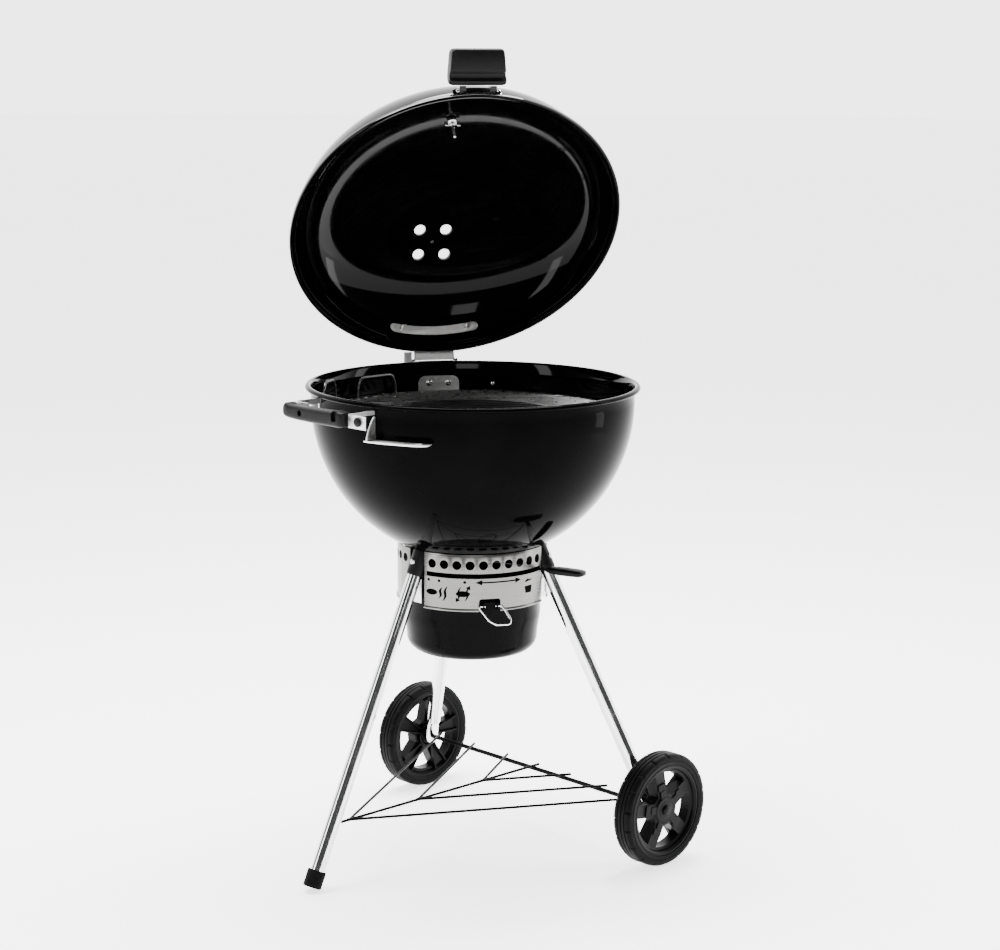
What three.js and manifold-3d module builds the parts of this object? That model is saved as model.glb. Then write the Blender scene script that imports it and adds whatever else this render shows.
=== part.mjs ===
// Kettle charcoal grill, 57 cm class. Millimetres, +Z up.
// The model is built about the bowl's vertical axis, with -Y at the front, the lid's hinge at +Y,
// and the ground at z = 0. The last lines move its origin to the middle of its footprint.
import * as THREE from 'three';
import { mergeVertices } from 'three/addons/utils/BufferGeometryUtils.js';
import Module from 'manifold-3d';

const wasm = await Module();
wasm.setup();

// ---------------------------------------------------------------- driving dimensions
const SHEET = 1.6; // enamelled steel of the bowl and lid
const GAP = 0.4; // clearance kept between pieces that rest on each other
const RIM_Z = 839; // top of the bowl's rolled rim
const BOWL_R = 283.5; // outer radius of the half-sphere bowl
const BOWL_CENTRE_Z = 811.5;
const RIM_R = 293; // outside of the rolled rim

const LID_OPEN = 54; // degrees the lid stands open
const HINGE_Y = 321;
const HINGE_Z = 835.6;
const PIN_R = 4;
const LID_R = 289; // outside of the lid just above its lip
const LID_LIP_R = 298.9;
const LID_DOME_Z = RIM_Z + 8; // where the straight skirt turns into the dome
const LID_DOME_H = 152;
const LID_LIP_BOTTOM_Z = 833.5;

const LEG_R = 12.7; // one-inch tube
const LEG_TILT = THREE.MathUtils.degToRad(24.95);
const LEG_GROUND_R = 376.9; // radius of the leg's centre line at the ground
const LEG_AZIMUTHS = { front_left: 210, right: -30, rear: 90 };
const SOCKET_R = 15.6;
const CAP_R = 16.2;

const BOWL_PLATE_R = BOWL_R - SHEET - 4.2; // back of the plate behind the hinge, inside the bowl
const LID_PLATE_R = 277;

const WHEEL_R = 101;
const WHEEL_W = 41;
const AXLE_R = 4;
const AXLE_DISTANCE = 163; // from the bowl's axis to the axle
const AXLE_AZIMUTH = 30;
const AXLE_HALF = 329;
const WHEEL_OUTER_FACE = 330;

const RING_R = 131; // ash catcher's steel panels, inside radius
const RING_T = 1.5;
const RING_TOP_Z = 553;
const RING_BOTTOM_Z = 460;
const SLOT_Z = 522; // height of the lever's slot
const POT_R = 121.5;
const POT_TOP_Z = 504;
const POT_BOTTOM_Z = 364;

const GRATE_Z = 784; // centre of the cooking grate's wires
const GRATE_R = 270;
const WIRE_R = 2.4;
const GRATE_PITCH = 27;
const INSERT_R = 148;
const FLAP_Y = 166; // hinge line of each flap
const COAL_Z = 655;
const COAL_R = 212;

// ---------------------------------------------------------------- materials
function material(colour, roughness, metalness) {
  return new THREE.MeshStandardMaterial({ color: colour, roughness, metalness });
}
const ENAMEL = material(0x0a0a0b, 0.12, 0);
const CHROME = material(0xd6d8da, 0.12, 1);
const BRUSHED = material(0xb9b7b2, 0.35, 1);
const POT_BLACK = material(0x111112, 0.38, 0.2);
const NYLON = material(0x161616, 0.6, 0);
const RUBBER = material(0x0d0d0d, 0.8, 0);
const WHEEL_BLACK = material(0x141415, 0.45, 0);
const WIRE_STEEL = material(0xa9a9a8, 0.3, 1);
const WIRE_BLACK = material(0x101011, 0.4, 0.3);
const ALUMINISED = material(0x8f8f8d, 0.45, 1);

// ---------------------------------------------------------------- geometry helpers
const rad = THREE.MathUtils.degToRad;

// A three.js geometry as a solid for cutting and joining.
function solid(geometry) {
  const bare = geometry.index ? geometry.toNonIndexed() : geometry.clone();
  bare.deleteAttribute('normal');
  bare.deleteAttribute('uv');
  const merged = mergeVertices(bare, 1e-3);
  const triVerts = new Uint32Array(merged.index.array);
  const vertProperties = merged.attributes.position.array;
  const made = new wasm.Manifold(new wasm.Mesh({ numProp: 3, vertProperties, triVerts }));
  if (made.volume() > 0) return made;
  const flipped = triVerts.map((v, i) => triVerts[i - (i % 3) + ((3 - (i % 3)) % 3)]);
  return new wasm.Manifold(new wasm.Mesh({ numProp: 3, vertProperties, triVerts: flipped }));
}

function geometryOf(made) {
  const mesh = made.getMesh();
  const geometry = new THREE.BufferGeometry();
  geometry.setAttribute('position', new THREE.BufferAttribute(new Float32Array(mesh.vertProperties), 3));
  geometry.setIndex(new THREE.BufferAttribute(new Uint32Array(mesh.triVerts), 1));
  geometry.computeVertexNormals();
  return geometry;
}

function joined(pieces) {
  return geometryOf(pieces.map(solid).reduce((a, b) => a.add(b)));
}

function cut(body, cutters) {
  return geometryOf(cutters.map(solid).reduce((a, b) => a.subtract(b), solid(body)));
}

// A closed profile of [radius, height] points turned about Z.
function turned(points, segments = 32) {
  const profile = points.map(([r, z]) => new THREE.Vector2(r, z));
  const geometry = new THREE.LatheGeometry(profile, segments).rotateX(Math.PI / 2);
  return geometryOf(solid(geometry));
}

// Points along an ellipse arc in (radius, height), angles in degrees from the +radius axis.
function arc(radiusR, radiusZ, centreZ, from, to, steps, centreR = 0) {
  const points = [];
  for (let i = 0; i <= steps; i += 1) {
    const t = rad(from + ((to - from) * i) / steps);
    points.push([centreR + radiusR * Math.cos(t), centreZ + radiusZ * Math.sin(t)]);
  }
  return points;
}

function block(x, y, z, centre = [0, 0, 0]) {
  return new THREE.BoxGeometry(x, y, z).translate(...centre);
}

// A round bar between two points.
function bar(from, to, radius, segments = 8) {
  const a = new THREE.Vector3(...from);
  const b = new THREE.Vector3(...to);
  const turn = new THREE.Quaternion().setFromUnitVectors(
    new THREE.Vector3(0, 1, 0),
    b.clone().sub(a).normalize(),
  );
  const middle = a.clone().add(b).multiplyScalar(0.5);
  return new THREE.CylinderGeometry(radius, radius, a.distanceTo(b), segments)
    .applyQuaternion(turn)
    .translate(middle.x, middle.y, middle.z);
}

// A wire bent through the given points.
function wire(points, radius, sides = 6, steps = 16) {
  const path = new THREE.CatmullRomCurve3(points.map((p) => new THREE.Vector3(...p)), false, 'centripetal');
  const section = new THREE.Shape();
  section.absarc(0, 0, radius, 0, Math.PI * 2);
  return new THREE.ExtrudeGeometry(section, {
    curveSegments: sides,
    steps,
    bevelEnabled: false,
    extrudePath: path,
  });
}

// A flat outline of [x, y] points extruded from z = 0 up to the thickness.
function plate(points, thickness) {
  const shape = new THREE.Shape(points.map(([x, y]) => new THREE.Vector2(x, y)));
  return new THREE.ExtrudeGeometry(shape, { depth: thickness, bevelEnabled: false });
}

// A sector of a flat ring about Z, angles in degrees.
function sector(inner, outer, from, to, z0, z1, steps = 20) {
  const shape = new THREE.Shape();
  const at = (r, a) => [r * Math.cos(rad(a)), r * Math.sin(rad(a))];
  for (let i = 0; i <= steps; i += 1) {
    const p = at(outer, from + ((to - from) * i) / steps);
    if (i === 0) shape.moveTo(...p);
    else shape.lineTo(...p);
  }
  for (let i = steps; i >= 0; i -= 1) shape.lineTo(...at(inner, from + ((to - from) * i) / steps));
  return new THREE.ExtrudeGeometry(shape, { depth: z1 - z0, bevelEnabled: false }).translate(0, 0, z0);
}

// A horizontal ellipse of points about a centre, its long axis turned by an angle.
function ellipse([x, y, z], long, short, turn, sides = 14) {
  const points = [];
  for (let i = 0; i < sides; i += 1) {
    const t = (i / sides) * Math.PI * 2;
    const u = long * Math.cos(t);
    const v = short * Math.sin(t);
    points.push([
      x + u * Math.cos(turn) - v * Math.sin(turn),
      y + u * Math.sin(turn) + v * Math.cos(turn),
      z,
    ]);
  }
  return points;
}

// A closed skin over sections that have the same number of points, from the first to the last.
function lofted(sections) {
  const sides = sections[0].length;
  const index = [];
  for (let row = 0; row + 1 < sections.length; row += 1) {
    for (let i = 0; i < sides; i += 1) {
      const a = row * sides + i;
      const b = row * sides + ((i + 1) % sides);
      index.push(a, b, a + sides, b, b + sides, a + sides);
    }
  }
  const last = (sections.length - 1) * sides;
  for (let i = 1; i + 1 < sides; i += 1) {
    index.push(0, i + 1, i);
    index.push(last, last + i, last + i + 1);
  }
  const geometry = new THREE.BufferGeometry();
  geometry.setAttribute('position', new THREE.Float32BufferAttribute(sections.flat(2), 3));
  geometry.setIndex(index);
  return geometry;
}

function ring(radius, wireRadius, z, sides = 6, segments = 48) {
  return new THREE.TorusGeometry(radius, wireRadius, sides, segments).translate(0, 0, z);
}

const grill = new THREE.Group();

function add(name, geometry, finish, parent = grill) {
  const mesh = new THREE.Mesh(geometry, finish);
  mesh.name = name;
  parent.add(mesh);
  return mesh;
}

function turnedGroup(azimuth, parent = grill) {
  const group = new THREE.Group();
  group.rotation.z = rad(azimuth);
  parent.add(group);
  return group;
}

// ---------------------------------------------------------------- bowl
// Outer radius of the bowl at a height.
function bowlRadius(z, offset = 0) {
  const h = Math.min(z - BOWL_CENTRE_Z, 0);
  return Math.sqrt((BOWL_R + offset) ** 2 - h * h);
}

function makeBowl() {
  const inner = BOWL_R - SHEET;
  const beadZ = RIM_Z - 4.5;
  const shell = turned([
    ...arc(BOWL_R, BOWL_R, BOWL_CENTRE_Z, -90, 0, 9),
    [BOWL_R, beadZ - 3],
    ...arc(RIM_R - 287, 4.5, beadZ, -60, 90, 3, 287),
    [inner, RIM_Z - 2],
    ...arc(inner, inner, BOWL_CENTRE_Z, 0, -90, 9),
  ]);
  const vents = [30, 150, 270].map((azimuth) => {
    const slot = new THREE.CylinderGeometry(17, 17, 90, 12).rotateX(Math.PI / 2);
    slot.scale(2.2, 1, 1).translate(82, 0, 545);
    return slot.rotateZ(rad(azimuth));
  });
  const spindleHole = new THREE.CylinderGeometry(8, 8, 40, 16).rotateX(Math.PI / 2).translate(0, 0, 528);
  add('bowl', cut(shell, [...vents, spindleHole]), ENAMEL);
}

// Small shelves inside the bowl wall that a grate rests on.
function makeGrateRests(name, azimuths, grateRadius, topZ) {
  azimuths.forEach((azimuth, i) => {
    const wall = bowlRadius(topZ - 14, -SHEET) - 1.2;
    const rest = plate([[grateRadius - 6, 0], [wall, 0], [wall - 1, -14], [grateRadius + 2, -4]], 22);
    rest.rotateX(Math.PI / 2).translate(0, 11, topZ);
    add(`${name}_${i + 1}`, rest, CHROME, turnedGroup(azimuth));
  });
}

// ---------------------------------------------------------------- legs
const LEG_DOWN = new THREE.Vector3(Math.sin(LEG_TILT), 0, -Math.cos(LEG_TILT));
const legPoint = (z) => [LEG_GROUND_R - z * Math.tan(LEG_TILT), 0, z];

// Places a piece drawn along +Z on a leg's centre line, its +Z pointing down the leg.
function alongLeg(geometry, z) {
  const turn = new THREE.Quaternion().setFromUnitVectors(new THREE.Vector3(0, 0, 1), LEG_DOWN);
  return geometry.applyQuaternion(turn).translate(...legPoint(z));
}

// A slab lying on the plane that touches the bowl where the leg's centre line meets it.
function bowlCutter() {
  const z = 554.5;
  const r = bowlRadius(z);
  const tilt = Math.atan2(r, BOWL_CENTRE_Z - z);
  return block(200, 200, 60, [0, 0, 30 - GAP]).rotateY(-tilt).translate(r, 0, z);
}

function makeLeg(side, azimuth) {
  const hasWheel = side !== 'front_left';
  const group = turnedGroup(azimuth);
  const topZ = 546;
  const endZ = hasWheel ? 137 : 14;
  const length = (topZ - endZ) / Math.cos(LEG_TILT);
  const bore = LEG_R - 1.4;
  const tube = alongLeg(
    turned([[LEG_R, 0], [LEG_R, length], [bore, length], [bore, 0], [LEG_R, 0]], 16),
    topZ,
  );
  if (!hasWheel) {
    add(`leg_${side}`, tube, CHROME, group);
  } else {
    // The foot of the tube is pressed flat, square to the axle, with a round end.
    const across = rad(AXLE_AZIMUTH - azimuth);
    const foot = lofted([
      [152, 12.4, 12], [138, 14, 9], [124, 15, 3.2], [100, 15, 3], [92, 12.5, 3], [87, 6, 3],
    ].map(([z, long, short]) => ellipse([legPoint(Math.max(z, WHEEL_R))[0], 0, z], long, short, across)));
    const hole = axleBar(AXLE_R + GAP).rotateZ(rad(-azimuth));
    add(`leg_${side}`, cut(joined([tube, foot]), [hole]), CHROME, group);
  }
  const socketTube = alongLeg(
    turned([
      [SOCKET_R, -30], [SOCKET_R, 34], [LEG_R + GAP, 34], [LEG_R + GAP, -6],
      [0, -6], [0, -30], [SOCKET_R, -30],
    ], 20),
    545,
  );
  add(`leg_socket_${side}`, cut(socketTube, [bowlCutter()]), NYLON, group);
}

function makeFootCap() {
  const cap = turned([
    [CAP_R - 1.5, 0], [CAP_R, 2], [CAP_R, 30], [LEG_R + GAP, 30], [LEG_R + GAP, 6],
    [0, 6], [0, 0], [CAP_R - 1.5, 0],
  ], 20).rotateX(Math.PI);
  const soleZ = CAP_R * Math.sin(LEG_TILT);
  add('foot_cap', alongLeg(cap, soleZ), RUBBER, turnedGroup(LEG_AZIMUTHS.front_left));
}

// ---------------------------------------------------------------- axle, wheels and bottom rack
const axleMiddle = [
  AXLE_DISTANCE * Math.cos(rad(AXLE_AZIMUTH)),
  AXLE_DISTANCE * Math.sin(rad(AXLE_AZIMUTH)),
  WHEEL_R,
];

// A bar on the axle's centre line; half is half its length.
function axleBar(radius, half = AXLE_HALF, segments = 12) {
  return new THREE.CylinderGeometry(radius, radius, half * 2, segments)
    .rotateZ(rad(AXLE_AZIMUTH))
    .translate(...axleMiddle);
}

// Group whose +Z runs out along the axle, its origin at the wheel's middle plane.
function wheelGroup(side) {
  const group = new THREE.Group();
  const out = side === 'right' ? -90 : 90;
  const azimuth = AXLE_AZIMUTH + out;
  const reach = WHEEL_OUTER_FACE - WHEEL_W / 2;
  group.position.set(
    axleMiddle[0] + reach * Math.cos(rad(azimuth)),
    axleMiddle[1] + reach * Math.sin(rad(azimuth)),
    WHEEL_R,
  );
  group.rotation.set(0, Math.PI / 2, 0);
  const holder = new THREE.Group();
  holder.position.copy(group.position);
  holder.rotation.z = rad(azimuth);
  group.position.set(0, 0, 0);
  holder.add(group);
  grill.add(holder);
  return group;
}

function makeWheel(side) {
  const group = wheelGroup(side);
  const half = WHEEL_W / 2;
  const tread = 82;
  const tyre = turned([
    [tread, -half + 2], [WHEEL_R - 5, -half + 1], [WHEEL_R, -half + 8], [WHEEL_R, half - 8],
    [WHEEL_R - 5, half - 1], [tread, half - 2], [tread, -half + 2],
  ], 32);
  add(`wheel_tyre_${side}`, tyre, WHEEL_BLACK, group);
  const rim = tread - GAP;
  const web = 4;
  const hub = turned([
    [AXLE_R + GAP, -half + 4], [17, -half + 4], [19, web], [rim - 8, web],
    [rim - 4, -half + 3], [rim, -half + 3], [rim, half - 3], [rim - 7, half - 3],
    [rim - 12, web + 5], [27, web + 8], [22, half - 4], [AXLE_R + GAP, half - 4],
    [AXLE_R + GAP, -half + 4],
  ], 24);
  const windows = [0, 1, 2, 3, 4].map((i) => {
    const window = plate([[30, -7.5], [61, -30], [67, -12], [67, 12], [61, 30], [30, 7.5]], 30);
    return window.translate(0, 0, -4).rotateZ(rad(i * 72 + 10));
  });
  add(`wheel_hub_${side}`, cut(hub, windows), WHEEL_BLACK, group);
  const cap = turned([[0, half - 3.4], [9, half - 3.4], [9, half - 1], [5, half + 2], [0, half + 2]], 16);
  const capBore = new THREE.CylinderGeometry(AXLE_R + GAP, AXLE_R + GAP, 7, 12).rotateX(Math.PI / 2);
  add(`axle_cap_${side}`, cut(cap, [capBore.translate(0, 0, half - 4)]), WHEEL_BLACK, group);
}

// Black wires between the legs: one spine, and three Vs whose arms end over the axle.
function makeRack() {
  const z = WHEEL_R + AXLE_R + WIRE_R + GAP;
  const reach = AXLE_DISTANCE + 9;
  const legInside = -(legPoint(z)[0] - LEG_R / Math.cos(LEG_TILT) - GAP * 4);
  const pieces = [bar([legInside, 0, z], [reach, 0, z], WIRE_R, 6)];
  [-290, -130, 28].forEach((start, level) => {
    const spread = (reach - start) * Math.tan(rad(30));
    const armZ = z + (level === 1 ? 0.2 : 0);
    pieces.push(bar([start, 0, armZ], [reach, spread, armZ], WIRE_R - 0.2, 6));
    pieces.push(bar([start, 0, armZ], [reach, -spread, armZ], WIRE_R - 0.2, 6));
  });
  const group = turnedGroup(AXLE_AZIMUTH);
  add('wire_rack', joined(pieces), WIRE_BLACK, group);
}

// ---------------------------------------------------------------- ash catcher
function makeRingPanel(name, azimuth, isFront) {
  const half = 52;
  const wall = sector(RING_R, RING_R + RING_T, -half, half, RING_BOTTOM_Z, RING_TOP_Z, 11);
  const flange = sector(RING_R - 14, RING_R + 0.5, -half, half, RING_TOP_Z - RING_T, RING_TOP_Z, 11);
  const lip = sector(RING_R, RING_R + 3.5, -half, half, RING_BOTTOM_Z, RING_BOTTOM_Z + 3, 11);
  const cutters = [];
  for (let i = 0; i < 10; i += 1) {
    const hole = new THREE.CylinderGeometry(8, 8, 30, 7).rotateZ(Math.PI / 2).translate(RING_R, 0, 541);
    cutters.push(hole.rotateZ(rad(-45 + i * 10)));
  }
  if (isFront) {
    cutters.push(sector(RING_R - 20, RING_R + 20, -half + 2, half - 2, SLOT_Z - 3.2, SLOT_Z + 3.2, 14));
    cutters.push(block(30, 38, 24, [RING_R, 0, RING_BOTTOM_Z + 10]));
  }
  add(name, cut(joined([wall, flange, lip]), cutters), BRUSHED, turnedGroup(azimuth));
}

function makePot() {
  const t = 1.2;
  const pot = turned([
    ...arc(26, 26, POT_BOTTOM_Z + 26, -90, -10, 4, 86),
    [117, 400], [POT_R, 432], [POT_R, POT_TOP_Z - 3], [POT_R + 3, POT_TOP_Z - 2], [POT_R + 3, POT_TOP_Z],
    [POT_R - t, POT_TOP_Z], [POT_R - t, 432], [117 - t, 400],
    ...arc(26 - t, 26 - t, POT_BOTTOM_Z + 26, -10, -90, 4, 86),
    [0, POT_BOTTOM_Z + t], [0, POT_BOTTOM_Z],
  ].concat([[86, POT_BOTTOM_Z]]), 26);
  add('ash_pot', pot, POT_BLACK);
  const bracket = block(10, 30, 14, [POT_R + GAP + 5.2, 0, 469]);
  const pivot = new THREE.CylinderGeometry(2.6, 2.6, 40, 12).translate(POT_R + 14, 0, 470);
  const ears = [-1, 1].map((s) => block(10, 3, 12, [POT_R + 13, s * 12, 470]));
  const group = turnedGroup(-90);
  add('pot_bail_bracket', cut(joined([bracket, ...ears]), [pivot]), CHROME, group);
  const x = POT_R + 14;
  const bail = wire([
    [x, -9, 470], [x, -25, 470], [x + 3, -27, 464], [x + 14, -22, 442], [x + 19, -13, 434],
    [x + 19, 13, 434], [x + 14, 22, 442], [x + 3, 27, 464], [x, 25, 470], [x, 9, 470],
  ], 2, 5, 18);
  add('pot_bail', bail, CHROME, group);
}

// ---------------------------------------------------------------- ash sweeper and its lever
const LEVER_AZIMUTH = -43;

function makeSweeper() {
  const top = BOWL_CENTRE_Z - BOWL_R + SHEET + 3;
  const spindle = turned([
    [0, SLOT_Z - 2], [13, SLOT_Z - 2], [13, SLOT_Z + 2], [7, SLOT_Z + 2], [7, top], [20, top], [20, top + 3],
    [0, top + 3],
  ], 20);
  add('sweeper_spindle', spindle, POT_BLACK);
  [90, 210, 330].forEach((azimuth, i) => {
    const r = BOWL_R - SHEET - 3.2;
    const band = [
      ...arc(r, r, BOWL_CENTRE_Z, -85.8, -62, 7),
      ...arc(r - 1.4, r - 1.4, BOWL_CENTRE_Z, -62, -85.8, 7),
    ];
    const blade = plate(band, 34).rotateX(Math.PI / 2).translate(0, 17, 0);
    add(`sweeper_blade_${i + 1}`, blade, ALUMINISED, turnedGroup(azimuth));
  });
  const group = turnedGroup(LEVER_AZIMUTH);
  add('lever_arm', block(139, 8, 3, [13.3 + 69.5, 0, SLOT_Z]), WIRE_BLACK, group);
  const paddle = plate([
    [-2, -7], [8, -12], [34, -15], [62, -14], [70, -8], [70, 8], [62, 14], [34, 15], [8, 12], [-2, 7],
  ], 9).translate(148, 0, SLOT_Z - 4.5);
  const socket = block(18, 8.6, 3.6, [146, 0, SLOT_Z]);
  add('lever_paddle', cut(paddle, [socket]), NYLON, group);
}

// ---------------------------------------------------------------- grates
// Parallel wires along X that fill the given spans: spansAt(y) returns [x0, x1] pairs.
function parallelWires(pitch, yFrom, yTo, z, radius, spansAt) {
  const bars = [];
  const count = Math.floor((yTo - yFrom) / pitch);
  const first = (yFrom + yTo - count * pitch) / 2;
  for (let i = 0; i <= count; i += 1) {
    const y = first + i * pitch;
    spansAt(y).forEach(([x0, x1]) => bars.push(bar([x0, y, z], [x1, y, z], radius, 4)));
  }
  return bars;
}

const chord = (radius, y) => Math.sqrt(Math.max(radius * radius - y * y, 0));

// An upright handle loop standing just clear of the grate's edge wire.
function gripLoop(azimuth, width, height, radius, topShare = 0.7) {
  const z = GRATE_Z + 3 + GAP;
  const w = width / 2;
  const t = w * topShare;
  const loop = wire([
    [radius, -w, z], [radius, -w * 0.95, z + height * 0.5], [radius, -t, z + height * 0.94],
    [radius, -t * 0.6, z + height], [radius, t * 0.6, z + height], [radius, t, z + height * 0.94],
    [radius, w * 0.95, z + height * 0.5], [radius, w, z],
  ], 2.3, 4, 12);
  return loop.rotateZ(rad(azimuth));
}

function makeCookingGrate() {
  const z = GRATE_Z;
  const bars = parallelWires(GRATE_PITCH, -152, 152, z, WIRE_R, (y) => {
    const edge = chord(GRATE_R, y);
    const inner = chord(INSERT_R + 6, y);
    return inner > 0 ? [[-edge, -inner], [inner, edge]] : [[-edge, edge]];
  });
  const hingeRods = [-1, 1].map((s) => {
    const y = s * (FLAP_Y - 8);
    return bar([-chord(GRATE_R, y), y, z], [chord(GRATE_R, y), y, z], 2.8, 6);
  });
  const outer = ring(GRATE_R, 3, z, 4, 36);
  const support = ring(INSERT_R + 6, 2.8, z, 4, 28);
  add('cooking_grate', joined([outer, support, ...hingeRods, ...bars]), WIRE_STEEL);
  add('grate_loop_left', gripLoop(148, 60, 40, GRATE_R), WIRE_STEEL);
  add('grate_loop_right', gripLoop(328, 60, 40, GRATE_R), WIRE_STEEL);
}

function makeFlap(side, azimuth) {
  const z = GRATE_Z;
  const edgeR = GRATE_R - 7;
  const bars = parallelWires(GRATE_PITCH, FLAP_Y + 12, edgeR - 8, z, WIRE_R, (y) => [
    [-chord(edgeR, y), chord(edgeR, y)],
  ]);
  const x = chord(edgeR, FLAP_Y);
  const hinge = bar([-x, FLAP_Y, z], [x, FLAP_Y, z], 2.8, 6);
  const a = THREE.MathUtils.radToDeg(Math.asin(FLAP_Y / edgeR));
  const edgePoints = arc(edgeR, edgeR, 0, a, 180 - a, 8).map(([px, py]) => [px, py, z]);
  const edge = wire(edgePoints, 2.8, 4, 14);
  const ties = [-70, 70].map((tx) => bar([tx, FLAP_Y, z - 3.6], [tx, chord(edgeR, tx), z - 3.6], 2.2, 5));
  const group = turnedGroup(azimuth);
  add(`grate_flap_${side}`, joined([hinge, edge, ...ties, ...bars]), WIRE_STEEL, group);
  add(`flap_loop_${side}`, gripLoop(119, 92, 35, edgeR - 2, 0.8), WIRE_STEEL, group);
}

function makeInsert() {
  const z = GRATE_Z;
  const r = INSERT_R;
  const bars = parallelWires(GRATE_PITCH * 1.1, -r + 6, r - 6, z, 3, (y) => [[-chord(r, y), chord(r, y)]]);
  const ties = [-60, 0, 60].map((x) => bar([x, -chord(r, x), z - 4], [x, chord(r, x), z - 4], 2.4, 4));
  add('grate_insert', joined([ring(r, 3, z, 4, 28), ...bars, ...ties]), WIRE_BLACK);
}

function makeCharcoalGrate() {
  const z = COAL_Z;
  const r = COAL_R;
  const bars = parallelWires(44, -r + 20, r - 10, z, 3, (y) => [[-chord(r, y), chord(r, y)]]);
  const ties = [-90, 90].map((x) => bar([x, -chord(r, x), z - 4], [x, chord(r, x), z - 4], 3, 4));
  add('charcoal_grate', joined([ring(r, 3, z, 4, 30), ...bars, ...ties]), ALUMINISED);
}

// ---------------------------------------------------------------- bowl fittings
const HANDLE_AZIMUTH = 210;

function makeBowlHandle() {
  const group = turnedGroup(HANDLE_AZIMUTH);
  const grip = plate([
    [-99, -9], [-94, -13], [44, -14], [52, -10], [52, 8], [47, 13], [-92, 13], [-99, 9],
  ], 27);
  grip.translate(0, 0, -13.5).rotateZ(Math.PI / 2).translate(336, 0, 816);
  const boltHole = new THREE.CylinderGeometry(5.2, 5.2, 60, 12).rotateX(Math.PI / 2).translate(334, -52, 816);
  add('bowl_handle_grip', cut(grip, [boltHole]), NYLON, group);
  // Each end bracket is a strap bent from the bowl's wall out to a plate that holds the grip.
  [['left', -1, 320, 60], ['right', 1, 333, 55]].forEach(([side, sign, plateX, inner]) => {
    const wallX = Math.sqrt(bowlRadius(BOWL_CENTRE_Z) ** 2 - 96 ** 2) + 1;
    const outline = [
      [wallX, 96.5], [plateX, 96.5], [plateX, inner], [plateX + 2.4, inner], [plateX + 2.4, 99], [wallX, 99],
    ].map(([x, y]) => [x, y * sign]);
    add(`bowl_handle_bracket_${side}`, plate(outline, 28).translate(0, 0, 801), CHROME, group);
  });
  const knob = turned([[0, 0], [8, 0], [8, 3], [6.5, 5], [0, 5]], 16).rotateY(Math.PI / 2);
  add('handle_knob', knob.translate(335.8, 83, 816), NYLON, group);
}

// Sheet bracket on the bowl's wall that carries a work light or tool hook.
function makeAccessoryBracket() {
  const z = 776;
  const r = BOWL_R + 1.5;
  const shelf = sector(r, r + 24, 218, 243, z, z + 2.2, 10);
  const wall = sector(r, r + 2, 218, 232, z + 1, z + 20, 8);
  const gusset = plate([[r, z], [r + 24, z], [r + 4, z + 40], [r, z + 40]], 2.2);
  gusset.rotateX(Math.PI / 2).rotateZ(rad(218.6));
  const tab = sector(r + 20, r + 22, 228, 233, z, z + 13, 3);
  const slot = block(6, 12, 20, [r + 11, 0, z]).rotateZ(rad(239));
  add('accessory_bracket', cut(joined([shelf, wall, gusset, tab]), [slot]), CHROME);
}

// A plate curved to the inside of a wall at +Y.
function makeWallPlate(name, radius, z0, z1, halfAngle, parent = grill) {
  const body = sector(radius - 1.8, radius, 90 - halfAngle, 90 + halfAngle, z0, z1, 10);
  add(name, body, CHROME, parent);
}

// ---------------------------------------------------------------- lid hinge
function makeHingeBase() {
  const r = BOWL_R + 1.5;
  const outline = [
    [r, 770], [r + 3, 770], [HINGE_Y + 2, 818], [HINGE_Y + 9, 829], [HINGE_Y + 9, 839],
    [HINGE_Y - 9, 839], [HINGE_Y - 9, 829], [r + 10, 822], [r, 822],
  ];
  const cheeks = [-42, 39.6].map((y) => plate(outline, 2.4).rotateX(Math.PI / 2).translate(0, y + 2.4, 0));
  const back = block(2.4, 84, 52, [r + 3, 0, 796]);
  const pinHole = new THREE.CylinderGeometry(PIN_R + GAP, PIN_R + GAP, 90, 14).translate(HINGE_Y, 0, HINGE_Z);
  add('hinge_base', cut(joined([back, ...cheeks]), [pinHole]), CHROME, turnedGroup(90));
  const pin = new THREE.CylinderGeometry(PIN_R, PIN_R, 92, 14).rotateZ(Math.PI / 2);
  add('hinge_pin', pin.translate(0, HINGE_Y, HINGE_Z), CHROME);
}

// ---------------------------------------------------------------- lid
// Everything on the lid is drawn closed, then the whole group turns about the hinge pin.
const lidFrame = new THREE.Group();
lidFrame.position.set(0, HINGE_Y, HINGE_Z);
lidFrame.rotation.x = -rad(LID_OPEN);
const lid = new THREE.Group();
lid.position.set(0, -HINGE_Y, -HINGE_Z);
lidFrame.add(lid);
grill.add(lidFrame);

// Height of the lid's outer face at a radius, and the tilt of its surface there.
const lidTop = (r) => LID_DOME_Z + LID_DOME_H * Math.sqrt(1 - (r / LID_R) ** 2);
const lidTilt = (r) => Math.atan2(r / LID_R ** 2, (lidTop(r) - LID_DOME_Z) / LID_DOME_H ** 2);

const VENT_Y = 150;
const GAUGE_Y = -134;

// Moves a piece drawn about the origin to the lid's surface at y, its +Z out of the lid.
function onLid(geometry, y, out = 0) {
  const r = Math.abs(y);
  return geometry
    .translate(0, 0, out)
    .rotateX(-Math.sign(y) * lidTilt(r))
    .translate(0, y, lidTop(r));
}

function ventHoles(radius, length) {
  return [45, 135, 225, 315].map((a) => {
    const hole = new THREE.CylinderGeometry(radius, radius, length, 12).rotateX(Math.PI / 2);
    return hole.translate(35 * Math.cos(rad(a)), 35 * Math.sin(rad(a)), 0);
  });
}

function peg(radius, length, segments = 12) {
  return new THREE.CylinderGeometry(radius, radius, length, segments).rotateX(Math.PI / 2);
}

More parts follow.
